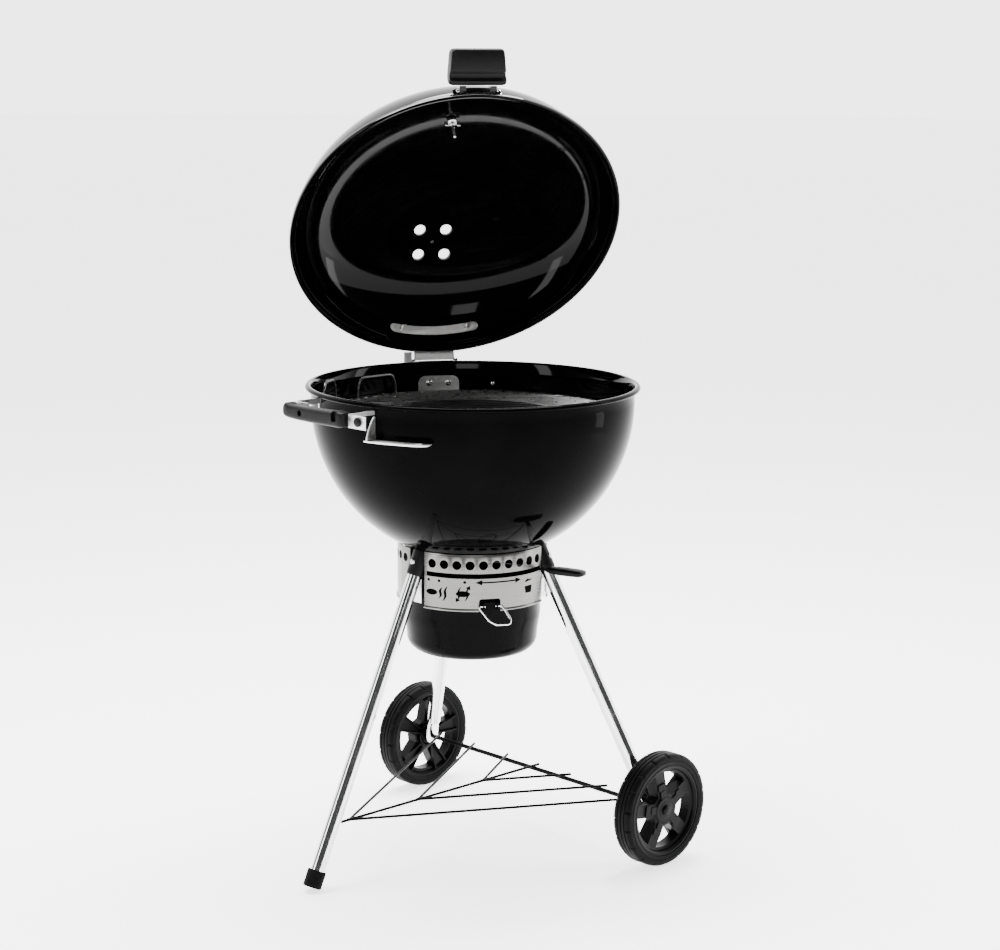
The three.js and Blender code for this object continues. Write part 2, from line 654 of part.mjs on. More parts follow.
function makeLid() {
  const inner = LID_R - SHEET;
  const shell = turned([
    [inner, LID_DOME_Z], [inner, RIM_Z + 1.2], [295, RIM_Z + 1], [295, LID_LIP_BOTTOM_Z],
    [LID_LIP_R, LID_LIP_BOTTOM_Z], [LID_LIP_R, RIM_Z + 3.5], [LID_R, RIM_Z + 4.5],
    ...arc(LID_R, LID_DOME_H, LID_DOME_Z, 0, 90, 9),
    ...arc(inner, LID_DOME_H - SHEET, LID_DOME_Z, 90, 0, 9),
  ]);
  const holes = ventHoles(10.8, 30).map((hole) => onLid(hole, VENT_Y));
  const rivetHole = onLid(peg(3.2, 30), VENT_Y);
  const gaugeHole = onLid(peg(5.6, 40), GAUGE_Y);
  add('lid', cut(shell, [...holes, rivetHole, gaugeHole]), ENAMEL, lid);
}

function makeDamper() {
  const disc = turned([[3.2, 0], [52, 0], [52, 1.2], [3.2, 1.2], [3.2, 0]], 24);
  const tab = plate([[-9, 50], [-6, 66], [6, 66], [9, 50]], 1.2);
  const lift = block(12, 1.4, 10, [0, 65, 5]);
  const damper = cut(joined([disc, tab, lift]), ventHoles(10.8, 10));
  add('lid_damper', onLid(damper, VENT_Y, 3), ALUMINISED, lid);
  const rivet = turned([[0, -4], [2.6, -4], [2.6, 2], [6, 2], [4.5, 4], [0, 4.4]], 12);
  add('damper_rivet', onLid(rivet, VENT_Y, 3), CHROME, lid);
}

function makeThermometer() {
  const dial = turned([[0, 0], [24, 0], [27, 2], [27, 9], [24, 12], [22, 10.5], [0, 10.5]], 28);
  add('thermometer', onLid(dial, GAUGE_Y, 3.2), CHROME, lid);
  const stem = turned([[0, 0], [2.2, 2], [2.2, 36], [4.6, 36], [4.6, 44], [0, 44]], 12);
  add('thermometer_stem', onLid(stem, GAUGE_Y, -41.5), CHROME, lid);
}

// An outline of [y, z] points extruded to a width centred on x = 0.
function acrossX(points, width, centreX = 0) {
  const turn = new THREE.Matrix4().makeBasis(
    new THREE.Vector3(0, 1, 0),
    new THREE.Vector3(0, 0, 1),
    new THREE.Vector3(1, 0, 0),
  );
  return plate(points, width).translate(0, 0, -width / 2).applyMatrix4(turn).translate(centreX, 0, 0);
}

// The grip leans up and out from the lid's front, on a bracket folded from sheet.
function makeLidHandle() {
  const section = [[-31, -11], [-25, -16], [26, -16], [31, -11], [31, 9], [26, 14], [-20, 14], [-31, 5]];
  const lean = rad(143);
  const placed = section.map(([u, w]) => [
    -322 + u * Math.cos(lean) + w * Math.sin(lean),
    883 + u * Math.sin(lean) - w * Math.cos(lean),
  ]);
  add('lid_handle_grip', acrossX(placed, 96), NYLON, lid);
  const base = acrossX([[-292.4, 847], [-290, 847], [-288.8, 865], [-291, 865]], 84);
  const arms = [-1, 1].map((s) => acrossX([
    [-290.9, 848], [-290.3, 864.5], [-294, 867], [-303, 855.3], [-297, 849],
  ], 12, s * 27));
  add('lid_handle_bracket', joined([base, ...arms]), CHROME, lid);
}

function makeLidHinge() {
  const outline = [
    [290.6, 848], [301, 846], [311, 834], [316, 828.5], [326, 828.5], [330, 835.6], [326, 843], [303, 868],
    [288.6, 882], [286.2, 882],
  ];
  const cheeks = [-1, 1].map((s) => acrossX(outline, 2.4, s * 37));
  const pad = acrossX([[290.3, 846.5], [292.8, 846.5], [288.8, 882], [286.2, 882]], 78);
  const pinHole = new THREE.CylinderGeometry(PIN_R + GAP, PIN_R + GAP, 90, 14).rotateZ(Math.PI / 2);
  pinHole.translate(0, HINGE_Y, HINGE_Z);
  add('lid_hinge', cut(joined([pad, ...cheeks]), [pinHole]), CHROME, lid);
}

// ---------------------------------------------------------------- assembly
makeBowl();
makeGrateRests('grate_rest', [20, 195, 280], GRATE_R, GRATE_Z - 3.6);
makeGrateRests('charcoal_rest', [40, 160, 280], COAL_R, COAL_Z - 6.6);
Object.entries(LEG_AZIMUTHS).forEach(([side, azimuth]) => makeLeg(side, azimuth));
makeFootCap();
add('axle', axleBar(AXLE_R), CHROME);
makeWheel('right');
makeWheel('rear');
makeRack();
makeRingPanel('ash_ring_front', 270, true);
makeRingPanel('ash_ring_right', 30, false);
makeRingPanel('ash_ring_left', 150, false);
makePot();
makeSweeper();
makeCharcoalGrate();
makeCookingGrate();
makeFlap('rear', 0);
makeFlap('front', 180);
makeInsert();
makeBowlHandle();
makeAccessoryBracket();
makeWallPlate('bowl_hinge_plate', BOWL_PLATE_R, 783, 813, 8);
makeHingeBase();
makeLid();
makeDamper();
makeThermometer();
makeLidHandle();
makeLidHinge();
makeWallPlate('lid_hinge_plate', LID_PLATE_R, 858, 880, 17.5, lid);

// Origin at the middle of the footprint's box, on the ground.
grill.updateMatrixWorld(true);
const box = new THREE.Box3().setFromObject(grill, true);
const middle = box.getCenter(new THREE.Vector3());
grill.position.set(-middle.x, -middle.y, -box.min.z);

export default grill;
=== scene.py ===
"""Kettle charcoal grill: the looks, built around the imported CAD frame. Lengths are millimetres about
the bowl's axis (-Y front, +Z up), and TO_ROW turns them into the frame's metres."""
import math

import bmesh
import bpy
from mathutils import Matrix, Vector


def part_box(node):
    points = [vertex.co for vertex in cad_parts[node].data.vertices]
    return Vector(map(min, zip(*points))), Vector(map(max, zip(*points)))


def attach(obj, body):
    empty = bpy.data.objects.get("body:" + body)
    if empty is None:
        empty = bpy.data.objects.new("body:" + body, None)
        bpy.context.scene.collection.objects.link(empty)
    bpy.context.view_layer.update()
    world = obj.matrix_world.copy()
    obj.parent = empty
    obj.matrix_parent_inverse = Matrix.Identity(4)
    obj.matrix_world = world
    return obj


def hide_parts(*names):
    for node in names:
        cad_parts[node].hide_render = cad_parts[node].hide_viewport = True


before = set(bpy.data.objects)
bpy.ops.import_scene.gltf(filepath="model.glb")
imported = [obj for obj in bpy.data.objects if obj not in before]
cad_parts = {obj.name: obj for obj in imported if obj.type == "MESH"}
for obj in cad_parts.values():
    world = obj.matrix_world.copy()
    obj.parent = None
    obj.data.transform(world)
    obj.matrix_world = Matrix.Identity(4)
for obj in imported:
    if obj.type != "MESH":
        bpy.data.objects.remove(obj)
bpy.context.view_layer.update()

# ------------------------------------------------------------------ driving dimensions
bowl_low, bowl_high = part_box("bowl")
AXIS = (bowl_low + bowl_high) / 2

SHEET = 1.6
RIM_Z = 839
RIM_R = 293
BOWL_R = 283.5
BOWL_CENTRE_Z = 811.5
LID_OPEN = 54
HINGE_Y = 321
HINGE_Z = 835.6
LID_R = 289
LID_LIP_R = 298.9
LID_DOME_Z = RIM_Z + 8
LID_DOME_H = 152
VENT_Y = 150
VENT_HOLE_RING = 35
GAUGE_Y = -134
LEG_R = 12.7
LEG_TILT = math.radians(24.95)
LEG_GROUND_R = 376.9
LEGS = {"front_left": 210, "right": -30, "rear": 90}
SOCKET_R = 15.6
CAP_R = 16.2
WHEEL_R = 101
WHEEL_W = 41
AXLE_R = 4
WIRE_R = 2.4
SPOKE_HALF = 11.5
WINDOW_R = 68
WINDOW_TURN = 10
BLOCK_STEPS = 12
TREAD_STEPS = 216
AXLE_DISTANCE = 163
AXLE_AZIMUTH = 30
AXLE_HALF = 329
WHEEL_OUTER_FACE = 330
RING_R = 131
RING_T = 1.5
RING_TOP_Z = 553
RING_BOTTOM_Z = 460
SLOT_Z = 522
PANELS = {"front": 270, "right": 30, "left": 150}
POT_R = 121.5
POT_TOP_Z = 504
POT_BOTTOM_Z = 364
GRATE_Z = 784
GRATE_R = 270
INSERT_R = 148
FLAP_Y = 166
LEVER_AZIMUTH = -43
GRATE_PITCH = 12.6
HANDLE_AZIMUTH = 210
LID_PLATE_R = 277
LID_GRIP_W = 96
LID_GRIP_Y = -322
LID_GRIP_Z = 883
LID_STRAP_Z = 847
VENT_HOLE_R = 10.8
BOWL_VENT_R = 17
BOWL_VENT_REACH = 82
BOWL_VENT_AZIMUTHS = (30, 150, 270)
LEG_TOP_Z = 546
WHEEL_LEG_END_Z = 137
FOOT_LEG_END_Z = 14
SOCKET_Z = 545
SOCKET_CUT_Z = 554.5
HOLE_ROW_Z = 541
HOLE_R = 8
PANEL_HALF_TURN = 52
SLOT_HALF = 4.3
BAIL_Z = 470
TRAVEL_Z = 511.1
SYMBOL_Z = 491
BRACKET_Z = 776
HANDLE_Z = 816
INSERT_PITCH = 20
CAMERA_LENS = 84.57
CAMERA_AZIMUTH = -13.425
CAMERA_DISTANCE = 4067.6
CAMERA_Z = 1435.4
FLOOR_R = 40000
FLOOR_GLOW = 2.1
SKY_STRENGTH = 4.0

# The side grip's length runs along y: (y, x0, x1, z0, z1) of each rounded section.
GRIP_SECTIONS = (
    (-99, 327, 345, 809, 823), (-97.5, 325, 347, 807, 826.5), (-94, 323.6, 348.4, 805.6, 829.4),
    (-88, 323, 349, 804.6, 829.5), (-82, 323.4, 349, 804, 827), (-60, 325, 349, 802.9, 827.6),
    (-30, 326, 349, 802.5, 827.4), (0, 325.4, 349, 802.5, 828), (24, 324, 349, 802.5, 828.6),
    (34, 323, 349, 802.5, 829.5), (44, 323, 349, 802.5, 829.5), (49, 323.6, 348.4, 803.2, 828.8),
    (52, 325.4, 346.6, 805, 827),
)

# The pressed foot of a wheeled leg: (z, half length, half width) of each oval section.
FOOT_SECTIONS = (
    (152, 12.4, 12), (146, 13, 11.4), (138, 14, 9), (131, 14.6, 5.6), (124, 15, 3.2), (100, 15, 3),
    (92, 12.5, 3), (87, 6, 3),
)


def shift(x, y, z):
    return Matrix.Translation((x, y, z))


def spin(degrees, axis="Z"):
    return Matrix.Rotation(math.radians(degrees), 4, axis)


# From millimetres about the bowl's axis to metres in the row's frame.
TO_ROW = shift(AXIS.x, AXIS.y, 0) @ Matrix.Scale(0.001, 4)
# Lid pieces are drawn closed and swung open about the hinge pin.
LID_SWING = shift(0, HINGE_Y, HINGE_Z) @ spin(-LID_OPEN, "X") @ shift(0, -HINGE_Y, -HINGE_Z)


# ------------------------------------------------------------------ materials
def new_material(name, colour, roughness, metallic=0.0, ior=1.45):
    material = bpy.data.materials.new(name)
    material.use_nodes = True
    shader = material.node_tree.nodes["Principled BSDF"]
    shader.inputs["Base Color"].default_value = (*colour, 1)
    shader.inputs["Roughness"].default_value = roughness
    shader.inputs["Metallic"].default_value = metallic
    shader.inputs["IOR"].default_value = ior
    return material, material.node_tree, shader


def add_node(tree, kind, settings):
    node = tree.nodes.new(f"ShaderNode{kind}")
    for socket, value in settings.items():
        node.inputs[socket].default_value = value
    return node


def set_ramp(ramp, stops):
    """Sets a new colour ramp's first, last and any middle stops, given as (position, colour)."""
    for element, (position, colour) in zip(ramp.elements, stops[:2]):
        element.position = position
        element.color = (*colour, 1)
    for position, colour in stops[2:]:
        ramp.elements.new(position).color = (*colour, 1)


def noise_field(tree, scale, stretch=(1, 1, 1), detail=4):
    """A noise value in object space; stretch multiplies each axis."""
    coords = tree.nodes.new("ShaderNodeTexCoord")
    mapping = add_node(tree, "Mapping", {"Scale": stretch})
    field = add_node(tree, "TexNoise", {"Scale": scale, "Detail": detail})
    tree.links.new(coords.outputs["Object"], mapping.inputs["Vector"])
    tree.links.new(mapping.outputs["Vector"], field.inputs["Vector"])
    return field.outputs["Fac"]


def remap(tree, value, low, high, start=0.3, end=0.7):
    node = add_node(tree, "MapRange", {"From Min": start, "From Max": end, "To Min": low, "To Max": high})
    tree.links.new(value, node.inputs["Value"])
    return node.outputs["Result"]


def vary_colour(tree, shader, value, dark, light):
    ramp = tree.nodes.new("ShaderNodeValToRGB")
    set_ramp(ramp.color_ramp, ((0.35, dark), (0.65, light)))
    tree.links.new(value, ramp.inputs["Fac"])
    tree.links.new(ramp.outputs["Color"], shader.inputs["Base Color"])


def bump(tree, shader, value, strength, distance):
    node = add_node(tree, "Bump", {"Strength": strength, "Distance": distance})
    tree.links.new(value, node.inputs["Height"])
    tree.links.new(node.outputs["Normal"], shader.inputs["Normal"])


def make_enamel(name, specular):
    material, tree, shader = new_material(name, (0.0006, 0.0006, 0.0007), 0.05, ior=1.25)
    shader.inputs["Specular IOR Level"].default_value = specular
    drift = noise_field(tree, 9, detail=3)
    vary_colour(tree, shader, drift, (0.0003, 0.0003, 0.0004), (0.0009, 0.0009, 0.0011))
    tree.links.new(remap(tree, noise_field(tree, 30, detail=6), 0.035, 0.085), shader.inputs["Roughness"])
    bump(tree, shader, noise_field(tree, 55, detail=2), 0.02, 0.0006)
    return material


def make_metal(name, colour, low, high, stretch=(1, 1, 1), scale=60, relief=0.03, spread=0.06):
    material, tree, shader = new_material(name, colour, (low + high) / 2, 1.0)
    streaks = noise_field(tree, scale, stretch, detail=6)
    dark = tuple(c * (1 - spread) for c in colour)
    light = tuple(min(c * (1 + spread), 1) for c in colour)
    vary_colour(tree, shader, streaks, dark, light)
    tree.links.new(remap(tree, streaks, low, high), shader.inputs["Roughness"])
    bump(tree, shader, streaks, relief, 0.0004)
    return material


def make_plastic(name, colour, low, high, grain, relief, specular):
    material, tree, shader = new_material(name, colour, (low + high) / 2)
    shader.inputs["Specular IOR Level"].default_value = specular
    wear = noise_field(tree, 18, detail=5)
    dark = tuple(c * 0.75 for c in colour)
    light = tuple(c * 1.35 for c in colour)
    vary_colour(tree, shader, wear, dark, light)
    tree.links.new(remap(tree, wear, low, high), shader.inputs["Roughness"])
    bump(tree, shader, noise_field(tree, grain, detail=2), relief, 0.0003)
    return material


ENAMEL = make_enamel("enamel_gloss", 0.045)
# The lining of the bowl and lid, and the lid's outside, shine a little more.
LINING = make_enamel("enamel_lining", 0.30)
LID_COAT = make_enamel("enamel_lid", 1.0)
CHROME = make_metal("chrome_bright", (0.80, 0.80, 0.81), 0.06, 0.16, scale=25, relief=0.01, spread=0.03)
STEEL = make_metal("steel_plated", (0.66, 0.66, 0.66), 0.16, 0.30, scale=70, relief=0.03)
BRUSHED = make_metal(
    "stainless_brushed", (0.165, 0.163, 0.157), 0.20, 0.38,
    stretch=(4, 4, 700), scale=2.2, relief=0.10, spread=0.16,
)
ZINC = make_metal("zinc_satin", (0.80, 0.80, 0.79), 0.34, 0.50, scale=140, relief=0.04, spread=0.05)
GRATE_WIRE = make_metal("grate_wire", (0.22, 0.22, 0.215), 0.24, 0.40, scale=120, relief=0.05)
ALUMINISED = make_metal(
    "aluminised_sheet", (0.40, 0.40, 0.39), 0.3, 0.5, scale=90, relief=0.08, spread=0.12
)

# Each moulded, painted or coated finish: name, colour, least and most roughness, grain, relief, specular.
POT_PAINT, NYLON, RUBBER, TREAD, WHEEL, BLACK_WIRE, CAST, INK_AND_SHADE, DIAL = (
    make_plastic(*finish) for finish in (
        ("pot_satin", (0.0008, 0.0008, 0.0009), 0.16, 0.26, 500, 0.02, 0.03),
        ("nylon_moulded", (0.0025, 0.0025, 0.0027), 0.36, 0.50, 1100, 0.12, 0.12),
        ("rubber_black", (0.003, 0.003, 0.003), 0.6, 0.8, 700, 0.2, 0.06),
        ("tread_moulded", (0.0015, 0.0015, 0.0017), 0.40, 0.56, 650, 0.2, 0.06),
        ("wheel_moulded", (0.0015, 0.0015, 0.0016), 0.28, 0.42, 900, 0.06, 0.07),
        ("wire_coated", (0.002, 0.002, 0.0022), 0.30, 0.42, 400, 0.05, 0.04),
        ("insert_coated", (0.012, 0.012, 0.012), 0.35, 0.5, 400, 0.15, 0.3),
        # This black is used for the printed pictograms and dial marks, and also for the painted shade under the lid
        # strap's screws.
        ("print_and_painted_shade_black", (0.0006, 0.0006, 0.0006), 0.4, 0.5, 1500, 0.02, 0.01),
        ("dial_face", (0.75, 0.75, 0.73), 0.25, 0.35, 300, 0.01, 0.5),
    )
)


# ------------------------------------------------------------------ mesh tools
def loft(bm, rings, closed=False):
    """Joins rings of points, each with the same number of points, into a skin."""
    rows = [[bm.verts.new(p) for p in ring] for ring in rings]
    count = len(rows[0])
    pairs = list(zip(rows, rows[1:]))
    if closed:
        pairs.append((rows[-1], rows[0]))
    for lower, upper in pairs:
        for i in range(count):
            j = (i + 1) % count
            bm.faces.new((lower[i], lower[j], upper[j], upper[i]))
    if not closed:
        bm.faces.new(list(reversed(rows[0])))
        bm.faces.new(rows[-1])
    return [v for row in rows for v in row]


def turned(bm, profile, segments=128, start=0, end=360):
    """Spins a profile of (radius, z) about Z; a profile point at radius 0 is welded."""
    whole = end - start == 360
    steps = segments if whole else segments + 1
    columns = []
    for i in range(steps):
        a = math.radians(start + (end - start) * i / segments)
        columns.append([bm.verts.new((r * math.cos(a), r * math.sin(a), z)) for r, z in profile])
    closed = profile[0][0] > 1e-6 and profile[-1][0] > 1e-6
    last = len(profile) if closed else len(profile) - 1
    for i in range(steps if whole else steps - 1):
        here, there = columns[i], columns[(i + 1) % steps]
        for k in range(last):
            m = (k + 1) % len(profile)
            bm.faces.new((here[k], there[k], there[m], here[m]))
    if not whole and closed:
        bm.faces.new(list(reversed(columns[0])))
        bm.faces.new(columns[-1])
    verts = [v for column in columns for v in column]
    poles = [v for v in verts if abs(v.co.x) < 1e-6 and abs(v.co.y) < 1e-6]
    if poles:
        bmesh.ops.remove_doubles(bm, verts=poles, dist=1e-4)
        verts = [v for v in verts if v.is_valid]
    return verts


def circle(radius, steps):
    """The (x, y) points of a regular polygon about the origin."""
    turns = (2 * math.pi * k / steps for k in range(steps))
    return [(radius * math.cos(a), radius * math.sin(a)) for a in turns]


def tube(bm, points, radius, sides=12, closed=False):
    """A round bar along a path."""
    path = [Vector(p) for p in points]
    count = len(path)
    rings = []
    side = None
    for i, p in enumerate(path):
        ahead = path[(i + 1) % count] if closed or i < count - 1 else p
        behind = path[i - 1] if closed or i > 0 else p
        along = (ahead - behind).normalized()
        if side is None:
            side = along.orthogonal().normalized()
        side = (side - along * side.dot(along)).normalized()
        up = along.cross(side)
        rings.append([p + side * u + up * v for u, v in circle(radius, sides)])
    return loft(bm, rings, closed=closed)


def rounded(points, radius, steps=6):
    """The path with each inner corner replaced by an arc of about the radius."""
    path = [Vector(p) for p in points]
    smooth = [path[0]]
    for before, corner, after in zip(path, path[1:], path[2:]):
        to_before, to_after = before - corner, after - corner
        reach = min(radius, to_before.length * 0.49, to_after.length * 0.49)
        a = corner + to_before.normalized() * reach
        b = corner + to_after.normalized() * reach
        for k in range(steps + 1):
            t = k / steps
            smooth.append(a * (1 - t) ** 2 + corner * 2 * t * (1 - t) + b * t ** 2)
    smooth.append(path[-1])
    return smooth


def prism(bm, outline, low, high):
    """Extrudes an outline of (x, y) from z = low to z = high."""
    return loft(bm, [[(x, y, z) for x, y in outline] for z in (low, high)])


def rounded_outline(width, height, radius, centre=(0, 0), steps=6):
    cx, cy = centre
    points = []
    for sx, sy, turn in ((1, 1, 0), (-1, 1, 90), (-1, -1, 180), (1, -1, 270)):
        for k in range(steps + 1):
            a = math.radians(turn + 90 * k / steps)
            points.append((
                cx + sx * (width / 2 - radius) + radius * math.cos(a),
                cy + sy * (height / 2 - radius) + radius * math.sin(a),
            ))
    return points


def slab(bm, size, centre=(0, 0, 0)):
    (sx, sy, sz), (cx, cy, cz) = size, centre
    outline = [(cx + x * sx / 2, cy + y * sy / 2) for x, y in ((-1, -1), (1, -1), (1, 1), (-1, 1))]
    return prism(bm, outline, cz - sz / 2, cz + sz / 2)


def made(build, *shape, **options):
    """A new bmesh holding one shape from one of the tools above."""
    bm = bmesh.new()
    build(bm, *shape, **options)
    return bm


def moved(verts, matrix):
    for v in verts:
        v.co = matrix @ v.co
    return verts


def soften(bm, width, segments=2, angle=32):
    edges = [
        e for e in bm.edges if len(e.link_faces) == 2 and e.calc_face_angle(0) > math.radians(angle)
    ]
    bmesh.ops.bevel(
        bm, geom=edges, offset=width, segments=segments, profile=0.5, affect="EDGES", clamp_overlap=True
    )


def as_mesh(name, bm, place=Matrix()):
    bmesh.ops.recalc_face_normals(bm, faces=bm.faces)
    bm.transform(TO_ROW @ place)
    mesh = bpy.data.meshes.new(name)
    bm.to_mesh(mesh)
    bm.free()
    return mesh


def carve(mesh, cutters):
    """Cuts closed bmesh pieces, already in place, out of a mesh."""
    holder = bpy.data.objects.new("carving", mesh)
    bpy.context.scene.collection.objects.link(holder)
    tools = []
    for i, cutter in enumerate(cutters):
        tool = bpy.data.objects.new(f"cutter_{i}", as_mesh(f"cutter_{i}", cutter))
        bpy.context.scene.collection.objects.link(tool)
        tools.append(tool)
        modifier = holder.modifiers.new(f"cut_{i}", "BOOLEAN")
        modifier.operation = "DIFFERENCE"
        modifier.solver = "EXACT"
        modifier.object = tool
    depsgraph = bpy.context.evaluated_depsgraph_get()
    carved = bpy.data.meshes.new_from_object(holder.evaluated_get(depsgraph))
    for spent in [holder, *tools]:
        bpy.data.objects.remove(spent)
    return carved


def piece(name, source, material, body, nodes=(), place=Matrix(), sharp=35):
    """Puts a bmesh or mesh in the scene, riding on a body and standing for the named CAD nodes."""
    mesh = source if isinstance(source, bpy.types.Mesh) else as_mesh(name, source, place)
    mesh.name = name
    mesh.materials.clear()
    mesh.materials.append(material)
    mesh.shade_smooth()
    mesh.set_sharp_from_angle(angle=math.radians(sharp))
    obj = bpy.data.objects.new(name, mesh)
    bpy.context.scene.collection.objects.link(obj)
    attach(obj, body)
    if nodes:
        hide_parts(*nodes)
    return obj


def line_inside(obj, middle, lining):
    """Gives the faces that look towards a middle point a coat of their own."""
    mesh = obj.data
    mesh.materials.append(lining)
    for face in mesh.polygons:
        if face.normal.dot(face.center - middle) < 0:
            face.material_index = 1


def cylinder(radius, length, sides=32):
    """A closed cylinder along Z from 0 to length."""
    return made(prism, circle(radius, sides), 0, length)


def arc_points(radius_r, radius_z, centre_z, start, end, steps, centre_r=0.0):
    points = []
    for k in range(steps + 1):
        a = math.radians(start + (end - start) * k / steps)
        points.append((centre_r + radius_r * math.cos(a), centre_z + radius_z * math.sin(a)))
    return points


# ------------------------------------------------------------------ bowl
def bowl_radius(z):
    return math.sqrt(BOWL_R ** 2 - min(z - BOWL_CENTRE_Z, 0) ** 2)


def make_bowl():
    inner = BOWL_R - SHEET
    bead_z = RIM_Z - 4.5
    bm = made(turned, [
        *arc_points(BOWL_R, BOWL_R, BOWL_CENTRE_Z, -90, 0, 48),
        (BOWL_R, bead_z - 6),
        (BOWL_R + 0.8, bead_z - 4.2),
        *arc_points(RIM_R - 287, 4.5, bead_z, -70, 110, 14, 287),
        (BOWL_R + 0.6, RIM_Z - 1.4),
        (inner, RIM_Z - 4),
        *arc_points(inner, inner, BOWL_CENTRE_Z, 0, -90, 48),
    ], 192)
    cutters = []
    for azimuth in BOWL_VENT_AZIMUTHS:
        slot = cylinder(BOWL_VENT_R, 90, 40)
        slot.transform(spin(azimuth) @ shift(BOWL_VENT_REACH, 0, 500) @ Matrix.Diagonal((2.2, 1, 1, 1)))
        cutters.append(slot)
    spindle_hole = cylinder(8, 40)
    spindle_hole.transform(shift(0, 0, 508))
    cutters.append(spindle_hole)
    shell = carve(as_mesh("kettle_bowl", bm), cutters)
    bowl = piece("kettle_bowl", shell, ENAMEL, "base", ("bowl",), sharp=50)
    line_inside(bowl, TO_ROW @ Vector((0, 0, BOWL_CENTRE_Z)), LINING)


# ------------------------------------------------------------------ lid, in its closed place
def lid_top(r):
    return LID_DOME_Z + LID_DOME_H * math.sqrt(1 - (r / LID_R) ** 2)


def on_lid(y, out=0.0):
    """The frame that sits on the dome at y, with Z along its normal."""
    lean = math.atan2(abs(y) / LID_R ** 2, (lid_top(abs(y)) - LID_DOME_Z) / LID_DOME_H ** 2)
    return (
        shift(0, y, lid_top(abs(y)))
        @ Matrix.Rotation(-math.copysign(lean, y), 4, "X")
        @ shift(0, 0, out)
    )


def vent_cutters(radius, place):
    cutters = []
    for azimuth in (45, 135, 225, 315):
        hole = cylinder(radius, 60)
        hole.transform(place @ spin(azimuth) @ shift(VENT_HOLE_RING, 0, -30))
        cutters.append(hole)
    return cutters


def make_lid():
    inner = LID_R - SHEET
    bm = made(turned, [
        (inner, LID_DOME_Z), (inner, RIM_Z + 2.6), (inner + 1.2, RIM_Z + 1.3), (294, RIM_Z + 1.1),
        (295, RIM_Z + 0.2), (295, 834.4), (295.5, 833.6), (296.9, 833.5), (298.3, 833.6),
        (LID_LIP_R, 834.6),
        (LID_LIP_R, RIM_Z + 1.8), (LID_LIP_R - 0.6, RIM_Z + 3), (LID_LIP_R - 2.2, RIM_Z + 3.6),
        (LID_R + 1.6, RIM_Z + 4.3), (LID_R + 0.2, RIM_Z + 5.3),
        *arc_points(LID_R, LID_DOME_H, LID_DOME_Z, 0, 90, 64),
        *arc_points(inner, LID_DOME_H - SHEET, LID_DOME_Z, 90, 0, 64),
    ], 192)
    vent = on_lid(VENT_Y)
    gauge_hole = cylinder(5.6, 60)
    gauge_hole.transform(on_lid(GAUGE_Y, -30))
    rivet_hole = cylinder(3.2, 60)
    rivet_hole.transform(on_lid(VENT_Y, -30))
    cutters = [*vent_cutters(VENT_HOLE_R, vent), gauge_hole, rivet_hole]
    for cutter in cutters:
        cutter.transform(LID_SWING)
    lid = carve(as_mesh("kettle_lid", bm, LID_SWING), cutters)
    dome = piece("kettle_lid", lid, LID_COAT, "lid", ("lid",), sharp=50)
    line_inside(dome, TO_ROW @ LID_SWING @ Vector((0, 0, BOWL_CENTRE_Z)), LINING)


# ------------------------------------------------------------------ legs
def leg_frame(side, z):
    """The frame on a leg's centre line at height z, with Z running down the leg."""
    return (
        spin(LEGS[side])
        @ shift(LEG_GROUND_R - z * math.tan(LEG_TILT), 0, z)
        @ Matrix.Rotation(math.pi - LEG_TILT, 4, "Y")
    )


def make_leg(side):
    has_wheel = side != "front_left"
    end_z = WHEEL_LEG_END_Z if has_wheel else FOOT_LEG_END_Z
    length = (LEG_TOP_Z - end_z) / math.cos(LEG_TILT)
    bm = bmesh.new()
    bore = LEG_R - 1.4
    turned(bm, [(LEG_R - 0.4, 0), (LEG_R, 0.4), (LEG_R, length - 0.4), (LEG_R - 0.4, length),
                (bore, length), (bore, 0)], 64)
    moved(bm.verts, leg_frame(side, LEG_TOP_Z))
    if has_wheel:
        rings = []
        turn = math.radians(AXLE_AZIMUTH - LEGS[side])
        for z, long, short in FOOT_SECTIONS:
            x = LEG_GROUND_R - max(z, WHEEL_R) * math.tan(LEG_TILT)
            rings.append([
                spin(LEGS[side]) @ Vector((
                    x + long * math.cos(a) * math.cos(turn) - short * math.sin(a) * math.sin(turn),
                    long * math.cos(a) * math.sin(turn) + short * math.sin(a) * math.cos(turn),
                    z,
                ))
                for a in (2 * math.pi * k / 48 for k in range(48))
            ])
        loft(bm, rings)
    piece(f"leg_tube_{side}", bm, CHROME, "base", (f"leg_{side}",), sharp=40)


def make_socket(side):
    """The moulded sleeve that holds the leg under the bowl, with its screw boss."""
    bm = made(turned, [
        (SOCKET_R - 1, -24), (SOCKET_R, -23), (SOCKET_R, 30), (SOCKET_R - 1.2, 34),
        (LEG_R + 0.3, 34), (LEG_R + 0.3, -6), (0, -6), (0, -24),
    ], 64)
    moved(bm.verts, leg_frame(side, SOCKET_Z))
    top = cylinder(60, 80)
    tilt = math.atan2(bowl_radius(SOCKET_CUT_Z), BOWL_CENTRE_Z - SOCKET_CUT_Z)
    top.transform(
        spin(LEGS[side])
        @ shift(bowl_radius(SOCKET_CUT_Z), 0, SOCKET_CUT_Z)
        @ Matrix.Rotation(-tilt, 4, "Y")
        @ shift(0, 0, -0.4)
    )
    mesh = carve(as_mesh(f"socket_{side}", bm), [top])
    piece(f"socket_{side}", mesh, NYLON, "base", (f"leg_socket_{side}",), sharp=32)
    # One screw through each sleeve, facing out from the grill.
    head = made(turned, [(0, 2.6), (2.6, 2.5), (4.6, 1.4), (5, 0), (0, 0)], 32)
    place = leg_frame(side, SOCKET_Z) @ shift(0, 0, 12) @ spin(-90, "Y")
    piece(f"socket_screw_{side}", head, STEEL, "base", (), place @ shift(0, 0, SOCKET_R - 0.4))


